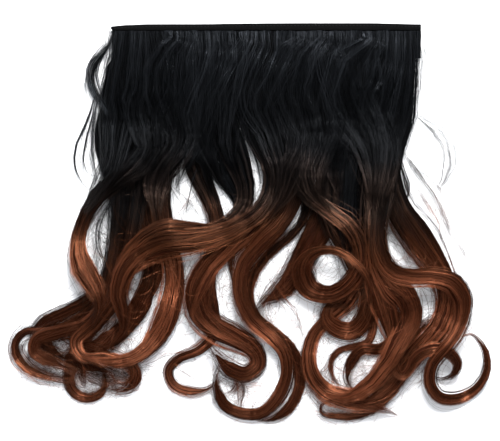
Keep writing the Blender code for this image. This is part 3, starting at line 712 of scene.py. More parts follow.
def dress_row(row, locks, thin_locks, seed):
    """Lays a row's locks and makes its cores and strands, which stand for the row's solid."""
    routes = rooted_routes(row, locks) + loose_routes(thin_locks)
    for route in routes:
        pile.lay(route, row)
    laid_routes.extend(routes)
    name = ROW_NAMES[row]
    low = BAND_TOP - HEADING_DROP - HEADING_HEIGHT * (len(ROW_NAMES) - row)
    base = HEADING_Z + row * (HEADING_THICKNESS + SEAM)
    heading = []
    for x in np.linspace(-0.5, 0.5, HEADING_STATIONS) * WEFT_WIDTH:
        section = [(low + a * HEADING_HEIGHT, base + b * HEADING_THICKNESS) for a, b in HEADING_SECTION]
        heading.append([(x, y, z) for y, z in section])
    pieces = [sweep_strip(name + "_heading", heading, core_finish)]
    pieces += [sweep_cores(name + "_cores", [r for r in routes if 2.0 * r.half.mean() > CORE_LEAST_WIDTH])]
    for side in ("left", "right"):
        chosen = [route for route in routes if (route.place[0][0] < 0.0) == (side == "left")]
        counted = strand_counts(chosen, STRANDS_PER_METRE[row])
        pieces.append(grow_strands(
            f"{name}_{side}_strands", counted, STRAND_WIDTH, STRAND_DEPTH, STRAND_WANDER, seed))
    for piece in pieces:
        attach(piece, "root")
        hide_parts(name)


pile = Pile((cad_box[0][0], cad_box[0][1]), (cad_box[1][0], cad_box[1][1]))
laid_routes = []
# A lock's columns are its root's share of the heading, how much lower than most it browns, which in locks
# that lie in shade is also painted shade, its brightness, which is painted light above 1 and painted shade
# below, where its highlight lies, banked and painted brighter, its bends, and the curl at its end, in degrees
# and as a share of the barrel's radius. A bend is a place across, a place down and a width. Across and width
# are in hundredths of the weft's width, and down and the lower browning in hundredths of the hair's drop.
back_locks = {
    "far_left_loop": (0.02, 12, 0.6, None, (
        (-2, 28, 8), (0.5, 40, 6), (2.5, 50, 4), (1, 60, 3.5), (-4, 68, 3.5), (-12, 73.5, 3.5),
        (-21, 76, 3), (-28, 76.2, 2.6), (-31.3, 79, 2.6), (-30.8, 82.5, 2.8), (-27.5, 85.5, 3.2),
        (-21, 87.3, 3.2), (-14, 87.8, 3)), ()),
    "left_sweep": (0.11, 15, 0.5, None, (
        (6, 28, 10), (3, 40, 7), (1.5, 50, 5), (0, 58, 4), (-3, 64.5, 4), (-9, 68.8, 4.2), (-16, 71.8, 4.5),
        (-22, 74, 4.5), (-24, 77, 4.5), (-19, 81, 5), (-12, 84.5, 5)), ()),
    "left_low_curl": (0.21, 14, 0.5, None, (
        (16, 28, 10), (12, 40, 7), (8, 52, 5), (4, 63, 4.5), (-1, 71, 4.5), (-7, 76, 4.5), (-12, 81, 4.5),
        (-14, 87, 4.2)), (265, 0.9)),
    "inner_left": (0.31, 2, 0.7, (12, 47), (
        (25, 24, 10), (16, 36, 9), (11, 44, 8), (11.5, 51, 8), (13.3, 58, 8), (12.8, 63.5, 7.5),
        (9.8, 68, 6.5), (6, 72.5, 5.5), (2, 77, 4.5), (-3, 81, 4)), ()),
    "mid_small_ring": (0.41, 0, 0.8, None, (
        (34, 19, 9), (28, 28, 8), (27.3, 35.5, 8), (31, 42, 7), (33.8, 48.5, 6), (32.5, 56, 5),
        (31.5, 65, 5), (33, 72, 4.5), (32.5, 77.5, 4), (28, 81, 3.6), (21.5, 83, 3.2), (18.3, 86, 3.2),
        (20.2, 89.6, 3.3), (25.5, 91, 3.5), (31, 90.4, 3.2), (35.5, 88, 3)), ()),
    "ring_outer": (0.52, 8, 1, (46, 62), (
        (58, 26, 10), (62, 35, 8), (63.5, 43, 4.5), (62, 48.5, 3), (57.5, 53, 2.8), (51.5, 56.6, 2.8),
        (46.8, 61, 3.2), (44.2, 67, 4), (46.5, 72.5, 4), (52.5, 76.5, 4.5), (58, 80.5, 4.5),
        (60.8, 85.5, 4), (60, 91.5, 4), (56, 96, 4), (50.5, 98.2, 3.5), (45, 97.3, 2.5)), ()),
    "loop_tail": (0.62, 0, 0.6, None, (
        (68, 26, 10), (70, 36, 9), (69.5, 44, 9), (67.5, 50, 10.5), (63.8, 55.5, 10), (60.3, 60.5, 9),
        (57, 64.5, 7.5), (53, 67.3, 6.3), (49, 69, 5.2), (45.5, 72, 3.5)), ()),
    "thin_ring": (0.72, 12, 0.8, None, (
        (76, 26, 10), (78, 36, 8), (80, 46, 5), (82, 56, 4), (84, 66, 3.5), (85, 73, 3), (83, 78.5, 2.4),
        (78.3, 79.9, 2), (74, 80.7, 2), (71.2, 83, 2), (71.2, 86.5, 2), (74, 90, 2)), ()),
    "dark_ring": (0.82, 12, 0.7, None, (
        (83, 26, 10), (82, 36, 8), (83, 46, 5), (84, 56, 4.5), (85, 65, 4.5), (89, 72.5, 4.5), (91, 78, 4),
        (86.8, 80.6, 4), (81.2, 80.6, 4), (77.6, 83.6, 4), (76.3, 88, 4), (79, 92, 3.5)), ()),
    "bottom_curl": (0.93, 4, 0.8, None, (
        (91.5, 26, 10), (90, 36, 8), (92, 45, 6), (97, 53, 5.5), (103, 59, 5), (107.5, 65, 5),
        (107.3, 72, 5), (103.5, 78, 5), (97.5, 83.5, 4.5), (93, 88, 4.5), (89, 92.5, 4), (84, 95.8, 3),
        (78, 97.3, 2.6), (69.5, 97, 2.4)), (-225, 0.3)),
}
# A thin lock has no root in the heading. Its columns are its lower browning, which in shaded locks is also
# painted shade, its brightness, painted light above 1 and painted shade below, and its bends.
back_thin_locks = {
    "left_edge": (26, 1, (
        (4, 2.6, 5), (3.4, 4.4, 5), (2.3, 6.4, 5), (1.1, 9.1, 5), (0.4, 11.6, 5), (-0.3, 15, 5),
        (-1.4, 18.5, 5), (-0.7, 21.5, 5), (-0.5, 24, 5), (-1.5, 27, 5), (-2, 31, 5), (-1.5, 36, 4.5),
        (1, 42, 4), (1.5, 50, 3), (0.8, 56, 3), (-0.8, 62, 3), (-1.5, 70, 2.5), (-2, 76, 2))),
    "thin_outer_ring": (0, 1, (
        (-20, 75.2, 1.5), (-24, 75.5, 1.5), (-28, 75.7, 1.5), (-31.5, 78, 1.5), (-32.3, 81.5, 1.5),
        (-29.5, 85, 1.8), (-24, 87.3, 2), (-17, 88.5, 2.3), (-11, 89, 2.5))),
    "inner_ring": (0, 0.7, (
        (-24, 77, 2), (-28.5, 79, 2), (-29, 81, 2), (-27, 83.5, 2), (-22, 86, 2), (-15, 88, 2))),
    # The dark clump locks and the fill are given low brightness and late browning as painted shade inside the
    # left clump.
    "clump_dark_sweep": (14, 0.35, (
        (13.5, 60, 5), (12, 66, 6), (9, 71, 6), (5, 75, 5.5), (1, 78, 5), (-4, 79.5, 5), (-10, 80, 5),
        (-16, 81.5, 4))),
    "clump_dark_fall": (14, 0.35, (
        (4, 70, 5), (1.5, 75, 5.5), (-3, 79, 6), (-7.5, 82.5, 5.5), (-10, 86, 4.5), (-9, 90, 4))),
    "clump_dark_back": (14, 0.35, (
        (5, 82.5, 4), (0, 81.5, 4.5), (-5, 80.5, 5), (-11, 79, 5), (-17, 77.5, 4))),
    "clump_fill": (10, 0.45, (
        (-21, 82, 4), (-15, 82.5, 5.5), (-8, 84, 6), (-2, 86, 5.5), (3.5, 87.5, 4.5))),
    "low_bit": (0, 0.6, ((-10, 83, 3), (-8.5, 85.5, 4), (-6, 87.8, 4.5), (-3, 89, 4), (0.5, 89, 3))),
    "left_hook": (0, 0.75, (
        (-6, 82.5, 3), (2, 82.5, 4), (6.3, 84.5, 4.3), (7.8, 87.3, 4.6), (5.8, 90, 4.6), (1.5, 91.3, 4),
        (-2, 90.5, 3))),
    "hook_cross": (0, 1, ((-3, 83.5, 1.8), (-0.8, 86, 1.8), (0.7, 88.5, 1.8), (1, 91, 1.5))),
    "under_ring": (12, 0.6, (
        (64, 30, 3), (63.5, 40, 2.5), (62, 48, 2.5), (56, 53.3, 2.5), (49, 57.5, 2.5), (45, 63, 2.5),
        (44.5, 69, 2))),
    "short_drop": (0, 1, ((39, 84.5, 3), (41, 88, 3.6), (41.8, 91.5, 3.6), (41, 95, 3))),
    "small_bridge": (0, 1, ((34, 92, 1.4), (37, 91.7, 1.6), (39.5, 90.5, 1.6), (41, 88, 1.4))),
    "thin_ring_inside": (0, 1, ((79, 80, 1.3), (74, 80.8, 1.3), (70.5, 84, 1.3), (70.8, 88, 1.2))),
    "low_right_broad": (10, 0.6, (
        (104, 72, 5), (98, 77, 6), (93, 81, 6), (89, 86, 6), (85, 89.5, 6), (80, 91, 6), (74, 91, 5))),
}
dress_row(0, back_locks, back_thin_locks, 11)


# Middle row of hair
# The second row is sewn to the band over the first, with its machine seam hidden by the third. It is the
# same curled fibre, and its locks lie on the first row's where the photograph shows one pass over another.
middle_locks = {
    "left_broad": (0.05, 12, 0.55, None, (
        (3, 28, 10), (3.5, 40, 7), (3, 50, 5), (1, 60, 4.5), (-2.5, 69, 5), (-9, 74.5, 5), (-17, 76.3, 5),
        (-24, 78, 5.5), (-25, 81, 6), (-18, 84, 6), (-11, 86, 5)), ()),
    "left_right_curl": (0.15, 8, 0.5, None, (
        (12, 28, 10), (9, 40, 8), (7, 50, 6), (4, 60, 5), (0, 68, 4.5), (-6, 74, 4.5), (-11.5, 78.5, 4),
        (-9, 82.2, 3.5), (-2, 82.2, 3.3), (4, 83.5, 3.5)), (-200, 0.55)),
    "mid_left_broad": (0.25, 2, 1, (19, 69), (
        (20, 26, 10), (16.5, 35, 9), (15.5, 43, 8), (17, 51, 8), (19.5, 58, 7), (20.2, 64, 7.5),
        (18.5, 71, 8.5), (15, 77, 8), (9.5, 81.5, 6), (3, 83.3, 5), (-4, 83.3, 4.5), (-10, 82, 3.5)), ()),
    "mid_dark_tongue": (0.35, 16, 1, None, (
        (31.5, 24, 9), (34, 33, 9), (38, 39.5, 7), (40.8, 44, 4), (41, 48, 3), (39.5, 53, 3), (38.5, 58, 3),
        (39.5, 65, 2.4)), ()),
    "big_s": (0.46, 2, 0.75, (37, 76), (
        (50, 25, 11), (54, 34, 9), (53, 43, 7), (46.5, 50, 7), (38, 55.5, 7), (31, 60, 8), (27.5, 66, 9),
        (28.8, 71.7, 9), (34, 75.5, 8.5), (40.5, 77.9, 8), (45.8, 81, 6.5), (47, 84.2, 5.5),
        (43.3, 86.5, 5.5), (38, 85.3, 6), (33.8, 82, 5.5), (30.8, 78.5, 4.5)), ()),
    "ring_inner": (0.56, 0, 1, (50, 77), (
        (60, 26, 10), (61, 35, 8), (59.5, 42, 6.5), (55, 49, 6.5), (48, 54.5, 6.5), (42.5, 60, 6),
        (41.7, 67, 5.5), (45, 73, 5.5), (51, 77.3, 5), (55.5, 81.5, 4.5), (56.5, 86.5, 4.5), (54, 92, 4.5),
        (48.5, 96, 4), (42.5, 96.4, 4.3), (37, 94.6, 4), (34.3, 91, 4), (33.7, 87, 3.5), (35, 84, 3)), ()),
    "bottom_point": (0.66, 8, 1.6, (79, 93.5), (
        (71, 26, 10), (70.5, 36, 8), (70, 46, 6), (72.5, 52, 6), (77, 57.5, 6), (79.5, 63, 6),
        (76, 69, 5.5), (70, 73, 5), (65.5, 77, 4.8), (63.7, 82, 5), (65, 87, 5.8), (69.5, 91, 6.5),
        (76, 92.8, 7.3), (83, 94, 6.3), (89, 95.8, 4), (92.7, 97, 2)), ()),
    # Its late browning and low brightness are painted shade.
    "inner_dark_curl": (0.76, 20, 0.7, None, (
        (79, 26, 10), (77, 36, 8), (76, 46, 7), (78, 56, 6.5), (81.7, 62, 5.5), (83, 67.5, 6),
        (81.8, 73, 7), (78, 76, 7), (73, 75.5, 7), (69.5, 72.5, 6.5), (71, 69.3, 5), (75, 69.8, 4.5),
        (77, 72, 3.5)), ()),
    "right_outer": (0.96, 4, 1, (104, 75), (
        (92.5, 25, 9), (89.5, 33, 8), (90.5, 41, 9), (93.5, 47, 10.5), (98.8, 52.5, 11.5), (103.8, 58, 9.5),
        (107.5, 63.5, 8), (108.5, 69, 7.5), (106, 75, 7.5), (100, 80, 7), (94, 85.5, 7), (89, 90.5, 6),
        (82, 93.3, 5), (76, 94, 3)), ()),
    "spine": (0.86, 7, 1.3, (88.5, 70), (
        (86.5, 26, 10), (84.5, 36, 7), (83, 44, 5), (83, 52, 6), (83.8, 59, 7), (86, 65, 8), (88.5, 71, 8),
        (90.3, 76, 6), (91.3, 80, 4), (90, 84, 4), (86.5, 88.5, 4.5), (81, 91.5, 4.5)), ()),
}
middle_thin_locks = {
    "middle_fall": (0, 1, (
        (52, 30, 4), (54, 38, 4), (51, 45, 4), (45, 51, 3.5), (38, 56, 3.5), (32, 61, 3.5), (28, 67, 3.5),
        (26, 72, 3), (29, 76, 2.5))),
    "under_curl": (0, 1, (
        (86, 96.3, 1.8), (79, 97, 1.8), (72, 97.2, 1.8), (68, 96.2, 1.8), (67.2, 94.5, 1.6),
        (69, 94, 1.2))),
}
dress_row(1, middle_locks, middle_thin_locks, 23)


# Front row of hair
# The top row is sewn along the hem and covers the other two at the band. Its locks of curled fibre lie
# uppermost, and the long ones cross over the curls of both rows below.
front_locks = {
    "left_outer": (0.08, 2, 0.65, (-11, 52), (
        (9, 20, 18), (13, 27, 11), (10, 33, 8), (3, 38, 6.5), (-4, 42.5, 6), (-8.7, 48, 5.3),
        (-10.8, 53.5, 5.5), (-9.7, 59, 8), (-6, 64.5, 8), (-3.8, 70, 5.5), (-6, 75, 4)), ()),
    "cross_upper": (0.3, 3, 1, (24, 50), (
        (33, 20, 17), (36, 26, 11), (39.5, 31, 8.5), (42, 36.5, 8), (43.3, 40.5, 6.5), (42.8, 44.7, 5.5),
        (38.5, 48.8, 4.8), (32, 51, 4.5), (24, 50.3, 4.5), (17, 50.3, 4.5), (10.5, 52.7, 4), (5, 57, 3.5),
        (1.5, 62.5, 3), (0.3, 68, 2.5)), ()),
    "cross": (0.42, 2, 1, (32, 53), (
        (47.5, 21, 15), (47.8, 27, 11.5), (49.5, 31, 8.5), (51.3, 35, 7), (52, 39, 6.2), (50.5, 43.5, 6.2),
        (46.5, 47.5, 6), (40.5, 50.5, 6.5), (33, 52.8, 7), (25, 54, 8), (17, 54.6, 8.5), (9.5, 57.3, 8),
        (4, 62, 6.5), (2.3, 67, 6), (3.8, 72, 5.5), (3.5, 76, 4), (0.5, 79, 2.5)), ()),
    "top_ring": (0.67, 5, 1, (73, 48), (
        (64, 23, 16), (60, 32, 10), (60.5, 38, 7), (64.5, 43, 6), (70.5, 46.3, 6), (76, 49.5, 6),
        (79.7, 54, 6), (80.3, 59.5, 6), (76.5, 64.5, 6.5), (70, 67, 7), (63.5, 65.3, 8.5),
        (61.3, 60.5, 8.5), (64, 57, 5), (68.5, 55.8, 3), (73, 56.3, 2.6), (78, 58.7, 2.6),
        (81.8, 62.3, 2.6), (83.3, 66, 2.4), (82.8, 69.5, 2)), ()),
    "small_right_curl": (0.87, 8, 0.6, (106, 80.3), (
        (90, 22, 10), (89, 34, 6), (87.5, 44, 5), (85.5, 52, 5), (86, 60, 4.5), (89, 67, 4.5),
        (91, 74, 4.5), (91, 80, 4.5), (91.3, 84.3, 4.3), (93.3, 86.7, 4.2), (95.5, 85.6, 4.2),
        (97.3, 82.8, 4.5), (100.5, 80.9, 4.5), (105, 80.2, 4.5), (109.5, 81.6, 4.2), (111.7, 84.3, 3.8),
        (110.3, 87, 3.3), (106.5, 88, 2.6), (103.5, 87.2, 2)), ()),
    "right_inner": (0.79, 6, 1.5, (79, 91), (
        (81, 24, 13), (84, 36, 8), (85.5, 44, 6), (85.5, 52, 6), (86.3, 58.5, 7.5), (90.3, 64, 9.5),
        (95, 67.8, 9.5), (96.8, 72, 8.5), (94.5, 76.7, 8), (90.5, 81.5, 7), (86, 86.5, 6), (80, 90.5, 5.5),
        (74, 92.3, 4.5), (69, 91.5, 3)), ()),
    "right_ring": (0.93, 7, 1.1, (102, 62.5), (
        (92, 22, 11), (89, 36, 7.5), (87.5, 44, 7), (85.5, 51, 5.5), (86.3, 57, 6), (90.3, 61.3, 6),
        (97, 62.6, 6), (104, 62.5, 6.3), (110, 64, 7), (113.3, 68, 7), (113, 72.5, 5.5), (111.3, 75.8, 5),
        (108, 79.5, 4.5), (103.5, 84, 4.3), (102.8, 88.8, 4.2), (106, 92.3, 4.3), (112, 92.8, 4.2),
        (118, 90.3, 3.5), (121.2, 85.5, 2.8), (120.3, 80.5, 2.4), (116, 76.8, 2.2),
        (112.5, 77.3, 1.6)), ()),
}
front_thin_locks = {
    "left_bundle": (8, 1, ((20, 33, 3), (15, 35.5, 4), (8, 37, 4), (0, 39, 3.5), (-5, 43, 3))),
    "left_strand": (22, 1, ((2, 42, 1.5), (-3, 48, 1.5), (-4.5, 52, 1.5), (-4, 56, 1.5), (-1.5, 60, 1.2))),
}
dress_row(2, front_locks, front_thin_locks, 37)


# Loose hair over the rows
# Fibres that were combed out of the bundles: sheets of them veil the black hair under the band, wisps hang
# at its sides, and single curled hairs stand off the locks and cross the gaps between them.
VEIL_STRANDS_PER_METRE = 4600.0
VEIL_WANDER = 0.35
DARK_WISP_STRANDS_PER_METRE = 20000.0
DARK_WISP_WANDER = 0.2
WISP_WIDTH = 0.00030
WISP_DEPTH = 0.00022
FINE_WISP_STRANDS_PER_METRE = 5200.0
FINE_WISP_WANDER = 1.2
FINE_WISP_WIDTH = 0.00016
FLY_COUNT = 8
FLY_REACH = 1.8
FLY_WANDER = 0.8
FLY_WIDTH = 0.00026
FLY_DEPTH = 0.00020
# A veil's or wisp's columns are its lower browning, its brightness, which below 1 is painted shade, and its
# bends.
veils = {
    "veil_far_left": (7, 0.6, (
        (4.6, 2, 9), (4.4, 6, 9.5), (3.2, 10, 9.5), (2.5, 14, 9.5), (1.2, 18.5, 9.5), (2.1, 23, 9.5),
        (1, 28, 9.5), (0.5, 33, 9), (-1, 37, 8), (-5, 42, 6.5), (-8.7, 47, 5.2))),
    "veil_left": (5, 0.5, (
        (12, 2, 13), (12.5, 7, 14), (13.5, 12, 14), (13, 17, 14), (10.5, 22, 13), (11, 27, 12),
        (12, 31, 11), (8.5, 35.5, 9), (2, 39.5, 7), (-3, 43.5, 5))),
    "veil_left_inner": (4, 0.65, (
        (23, 2, 14), (20.5, 7, 15), (18.5, 12, 15), (18, 17, 14), (20, 22, 13), (22.5, 27, 11),
        (21, 32, 10), (16.5, 36.5, 9), (14, 42, 8), (15, 49, 6))),
    "veil_middle_left": (7, 0.75, (
        (34, 2, 14), (34.5, 7, 15), (33, 12, 14), (29.5, 17, 13), (27, 22, 12), (27.5, 27, 11),
        (30.5, 32, 9), (33.5, 37, 7), (36, 41, 5))),
    "veil_middle": (6, 0.8, (
        (45, 2, 14), (43, 7, 15), (40, 12, 14), (38.5, 17, 13), (38.5, 22, 10.5), (37, 27, 7.5),
        (38, 33, 7), (41, 38, 6))),
    "veil_over_slit": (6, 0.8, (
        (54.5, 2, 14), (54, 7, 14), (51, 12, 13), (48, 17, 13), (47.5, 21.5, 11), (50.5, 26.5, 7),
        (53, 32, 6.5), (54, 37, 7), (52, 42, 6))),
    "veil_over_gap": (10, 0.6, (
        (28.5, 2, 9), (28, 8, 10), (28.5, 15, 10), (29, 22, 9), (27, 27, 8), (25, 32, 7), (22.5, 36.5, 5.5),
        (20.6, 41, 3))),
    "veil_by_gap": (8, 0.6, (
        (38.5, 2, 9), (37.5, 9, 10), (35.5, 17, 10), (33, 24, 9), (31, 29, 8), (30.5, 34, 6.5),
        (31, 38, 4.5), (32.5, 43, 2.5))),
    "veil_middle_right": (5, 0.85, (
        (64, 2, 15), (61.5, 7, 16), (58.5, 12, 15), (57.5, 17, 14), (60, 22, 13), (62, 27, 12),
        (61, 32, 10), (58, 37, 9), (55, 43, 7), (51, 48, 5))),
    "veil_right_inner": (5, 0.85, (
        (74, 2, 14), (72.5, 7, 15), (69, 12, 15), (66.5, 17, 14), (66.5, 22, 13), (68, 27, 12),
        (66.5, 32, 10), (64.5, 37, 9), (66.5, 43, 7), (71, 47, 5))),
    "veil_right": (7, 0.8, (
        (85, 2, 14), (82, 7, 15), (78, 12, 15), (76, 17, 14), (78, 22, 13), (82, 27, 12), (84, 32, 10),
        (84.5, 37, 9), (84, 44, 7))),
    "veil_right_low": (6, 0.65, (
        (90.5, 2, 8), (90.5, 7, 8.5), (89, 12, 8.5), (86, 17, 9), (84.5, 22, 9), (87, 27, 9), (89.5, 32, 8),
        (88.5, 37, 7.5), (86.5, 43, 6.5), (87, 49, 5))),
    "veil_far_right": (8, 0.75, (
        (94.2, 2, 9), (94, 7, 9.3), (93.7, 13, 9.3), (93.3, 18, 9), (91.8, 22.5, 9), (89.6, 27, 8.5),
        (88.4, 31, 8), (88.6, 36, 7.5), (91, 43, 7))),
    "veil_cross_right": (8, 0.75, (
        (69, 2, 9), (70, 7, 10), (72, 12, 10), (74, 17, 10), (76.5, 22, 10), (76, 27, 9), (73, 32, 8),
        (72, 37, 7), (74, 44, 5))),
}
dark_wisps = {
    "left_lobe": (26, 0.5, (
        (0.4, 2.4, 1.4), (-0.6, 4.6, 1.9), (-3.5, 7.9, 2.1), (-5.9, 10.2, 2.1), (-6.8, 13.1, 2),
        (-6.1, 16, 1.9), (-4.2, 18.5, 2), (-1.3, 21.5, 2.4), (2, 25.5, 2.6))),
    "left_lobe_inner": (26, 0.5, (
        (-0.6, 5, 0.7), (-2.6, 7.6, 0.8), (-4.4, 10, 0.9), (-5, 12.4, 0.9), (-4.4, 15.3, 0.9),
        (-3.2, 17.8, 0.8))),
    "wisp_left_wide": (20, 1, (
        (-5.2, 17, 0.6), (-6.5, 20, 0.6), (-7.8, 23.5, 0.6), (-10.4, 27.4, 0.55), (-12, 30.9, 0.55),
        (-12.3, 34.3, 0.55), (-11.3, 37.3, 0.55), (-9.4, 39.8, 0.55), (-7.4, 41.4, 0.5))),
    "wisp_left_middle": (20, 1, (
        (-5.2, 18, 0.5), (-6.3, 22.5, 0.5), (-8.1, 27.4, 0.5), (-9.1, 30.9, 0.45), (-9.4, 33.3, 0.45),
        (-8.4, 36.3, 0.45), (-6.5, 38.6, 0.4))),
    "wisp_left_near": (20, 1, (
        (-4.6, 18, 0.8), (-5.9, 23.5, 0.9), (-6.7, 28.4, 0.9), (-6.6, 31.4, 0.9), (-5.8, 35.3, 0.8),
        (-4.6, 38.5, 0.7))),
    "wisp_right_dark": (26, 0.5, (
        (92.5, 31, 1), (94.5, 36.3, 1.4), (96.1, 40, 1.4), (95.8, 42.5, 1.2), (94.3, 44.8, 1))),
    "wisp_in_gap": (20, 1, ((23, 32, 0.8), (21.8, 36, 0.8), (21.6, 40, 0.6), (21.9, 43, 0.5))),
    "wisp_in_gap_right": (20, 1, ((28, 35, 0.6), (26, 39, 0.6), (24.8, 43, 0.5), (23.8, 47, 0.4))),
    "wisp_in_slit": (20, 1, ((42.5, 26, 0.7), (45, 30.5, 0.7), (47.2, 35, 0.7), (48.3, 40, 0.6))),
    "wisp_in_loop": (0, 1, ((40, 86.5, 0.5), (40.5, 90, 0.6), (41, 94, 0.5))),
}
fine_wisps = {
    "wisp_left_close": (0, 1, (
        (-4, 19, 1.5), (-4.8, 22.5, 1.8), (-5.6, 26, 2), (-5.9, 30, 2), (-5.4, 35, 1.8))),
    "wisp_left_fan": (0, 1, (
        (-6, 20, 1.5), (-8, 26, 2.2), (-9.8, 31, 2.4), (-9.6, 35, 2.2), (-7.6, 39, 1.6))),
    "wisp_left_air": (0, 1, (
        (-0.5, 3, 1.5), (-4.5, 6.5, 2.5), (-7.8, 11, 2.5), (-8.2, 16, 2), (-7, 21, 1.5))),
    "wisp_right_high": (0, 1, (
        (99.8, 2.4, 1), (101, 6.5, 2), (101.4, 10, 2.4), (100.8, 14.6, 2.2), (99.6, 19, 1.6),
        (98.2, 22, 1))),
    "wisp_right_bow": (0, 1, (
        (98.5, 22.5, 2), (103, 24.5, 4), (107.5, 28.5, 4.5), (109.3, 33, 4.5), (108, 38, 4), (105, 42, 3))),
    "wisp_right_far": (0, 1, (
        (94, 31, 2), (98.5, 36, 3), (102.5, 40, 3.5), (106, 44, 3.5), (108.5, 49, 3.5), (109.5, 54, 3))),
    "wisp_right_near": (0, 1, (
        (96, 39, 1.5), (100, 42, 2), (103, 45.5, 2), (105.5, 50, 2), (107, 55, 1.5))),
    "wisp_right_low": (0, 1, ((108, 47, 1.5), (110.5, 52, 2), (113.5, 56, 2), (115.5, 60, 1.5))),
    "wisp_left_fall": (0, 1, ((10, 84.5, 1.2), (16, 82.5, 1.4), (22, 81.5, 1.4), (28, 80.5, 1.2))),
    "wisp_gap_fan": (0, 1, ((19, 40, 3), (22, 42.5, 4), (25, 45.5, 4), (28, 48, 3))),
    "wisp_gap_cross": (0, 1, ((29, 40, 3), (26, 43, 4), (23, 46, 4), (20, 48.5, 3))),
    "wisp_middle_gap": (0, 1, ((62, 58, 3), (56, 62, 5), (51, 68, 5), (50, 74, 4))),
    "wisp_middle_gap_low": (0, 1, ((50, 62, 3), (54, 67, 4.5), (59, 72, 4.5), (62, 78, 3))),
    "wisp_low_gap": (0, 1, ((19, 84, 2), (24, 86, 3), (29, 88, 3), (33, 90, 2))),
    "wisp_right_gap": (0, 1, ((93, 50, 2), (97, 56, 3), (101, 61, 3), (103, 66, 2))),
}

veil_routes = loose_routes(veils, True)
dark_routes = loose_routes(dark_wisps)
fine_routes = loose_routes(fine_wisps)
for route in veil_routes:
    pile.lay(route, len(ROW_NAMES))
for route in dark_routes + fine_routes:
    pile.lay(route, 1)
# Flyaway hairs follow every lock's route, spread wider than the lock.
fly_routes = []
for route in laid_routes:
    spread = copy.copy(route)
    spread.half = route.half * FLY_REACH
    fly_routes.append((spread, FLY_COUNT))

FRIZZ_COUNT = 2400
FRIZZ_FROM = 0.35
FRIZZ_TURN = 0.7
FRIZZ_BEND = 45.0
FRIZZ_WAVER = 25.0
FRIZZ_POINTS = 8
FRIZZ_STEP = (0.0025, 0.0090)
FRIZZ_REACH = 0.0022
FRIZZ_START = (0.5, 1.1)
FRIZZ_DROOP = (0.1, 0.9)
FRIZZ_RISE = 0.006
FRIZZ_RAGGED = 0.002
LEAST_HEIGHT = 0.0004


def frizz_routes(routes, count, seed):
    """Single curled hairs that start on a lock and stand off it in an arc, few of them far from the locks."""
    chance = np.random.default_rng(seed)
    low, high = np.array(cad_box)[:, :2]
    locks = np.vstack([route.place for route in routes])
    widths = np.concatenate([route.half for route in routes])
    hairs = []
    while len(hairs) < count:
        route = routes[chance.integers(len(routes))]
        i = chance.integers(int(FRIZZ_FROM * len(route.along)), len(route.along))
        x, y = route.place[i] + route.side[i] * route.half[i] * chance.uniform(-1.0, 1.0)
        heading = math.atan2(-route.side[i][0], route.side[i][1]) + chance.normal(0.0, FRIZZ_TURN)
        bend = chance.normal(0.0, FRIZZ_BEND)
        step = chance.uniform(*FRIZZ_STEP)
        points = []
        for _ in range(FRIZZ_POINTS):
            points.append((x, y, LEAST_HEIGHT))
            heading += bend * step
            bend += chance.normal(0.0, FRIZZ_WAVER)
            x += step * math.cos(heading)
            y += step * math.sin(heading)
        tip = np.array(points[-1][:2])
        away = (np.linalg.norm(locks - tip, axis=1) - widths).min()
        over = max((low - tip).max(), (tip - high).max())
        if away > chance.exponential(FRIZZ_REACH) or over > 2.0 * FRIZZ_REACH:
            continue
        hair = Route(points, None, route.late_browning_and_shade, route.brightness)
        rise = route.height[i] + route.thick[i] * chance.uniform(*FRIZZ_START)
        rise = min(rise, cad_box[1][2] + FRIZZ_RISE)
        heights = np.linspace(rise, rise * chance.uniform(*FRIZZ_DROOP), len(hair.along))
        hair.height = np.maximum(heights, LEAST_HEIGHT)
        hairs.append((hair, 1))
    return hairs


loose_pieces = [
    grow_strands("veil_strands", strand_counts(veil_routes, VEIL_STRANDS_PER_METRE),
                 STRAND_WIDTH, STRAND_DEPTH, VEIL_WANDER, 51),
    grow_strands("wisp_strands", strand_counts(dark_routes, DARK_WISP_STRANDS_PER_METRE),
                 WISP_WIDTH, WISP_DEPTH, DARK_WISP_WANDER, 52),
    grow_strands("fine_wisp_strands", strand_counts(fine_routes, FINE_WISP_STRANDS_PER_METRE),
                 FINE_WISP_WIDTH, FINE_WISP_WIDTH, FINE_WISP_WANDER, 56),
    grow_strands("flyaway_strands", fly_routes, FLY_WIDTH, FLY_DEPTH, FLY_WANDER, 53),
    grow_strands("frizz_strands", frizz_routes(laid_routes, FRIZZ_COUNT, 54),
                 WISP_DEPTH, FLY_DEPTH, 0.0, 55, FRIZZ_RAGGED),
]
for piece in loose_pieces:
    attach(piece, "root")


# Cloth band
# A strip of black woven tape, rolled and folded double into a hem at the top, with the rows of hair sewn
# under it. One row of machine stitches holds the hem. Its thread ends in a knot at the left end, and the cut
# ends of the tape fray.
BAND_Z = 0.0031
BAND_THICKNESS = 0.0010
BAND_HEIGHT = 0.024
BAND_MIDDLE = -0.016
HEM_THICKNESS = 0.0055
HEM_BOTTOM = -0.0066
HEM_ROLL = 0.0016
HEM_EDGE = ((0, 0.0030), (0.03, 0.0018), (0.12, 0.0009), (0.28, 0.0009), (0.42, 0.0003), (0.60, 0.0),
            (0.85, 0.0), (1, 0.00105))
HEM_STATIONS = 200
HEM_LOWER_ROLL = 0.0012
FOLD_DEPTH = 0.00012
DENT_DEPTH = 0.00022
LOW_EDGE_WAVE = 0.0003
STITCH_DROP = 0.0021
STITCH_GROOVE = 0.0005
STITCH_SINK = 0.0003

WEAVE_SCALE = 900.0
WEAVE_DEPTH = 0.0003
TWIST_SCALE = 2400.0


def mottled_finish(name, roughness, grain, detail, spread, greys, **levels):
    """A finish whose grey varies with its grain, a noise of the given scale and detail."""
    finish, nodes, shader = new_material(name, roughness, **levels)
    place = node(nodes, "ShaderNodeTexCoord").node.outputs["Object"]
    mottle = node(nodes, "ShaderNodeTexNoise", place, grain, detail)
    nodes.links.new(node(nodes, "ShaderNodeMapRange", mottle, *spread, *greys), shader["Base Color"])
    return finish, nodes, shader, mottle


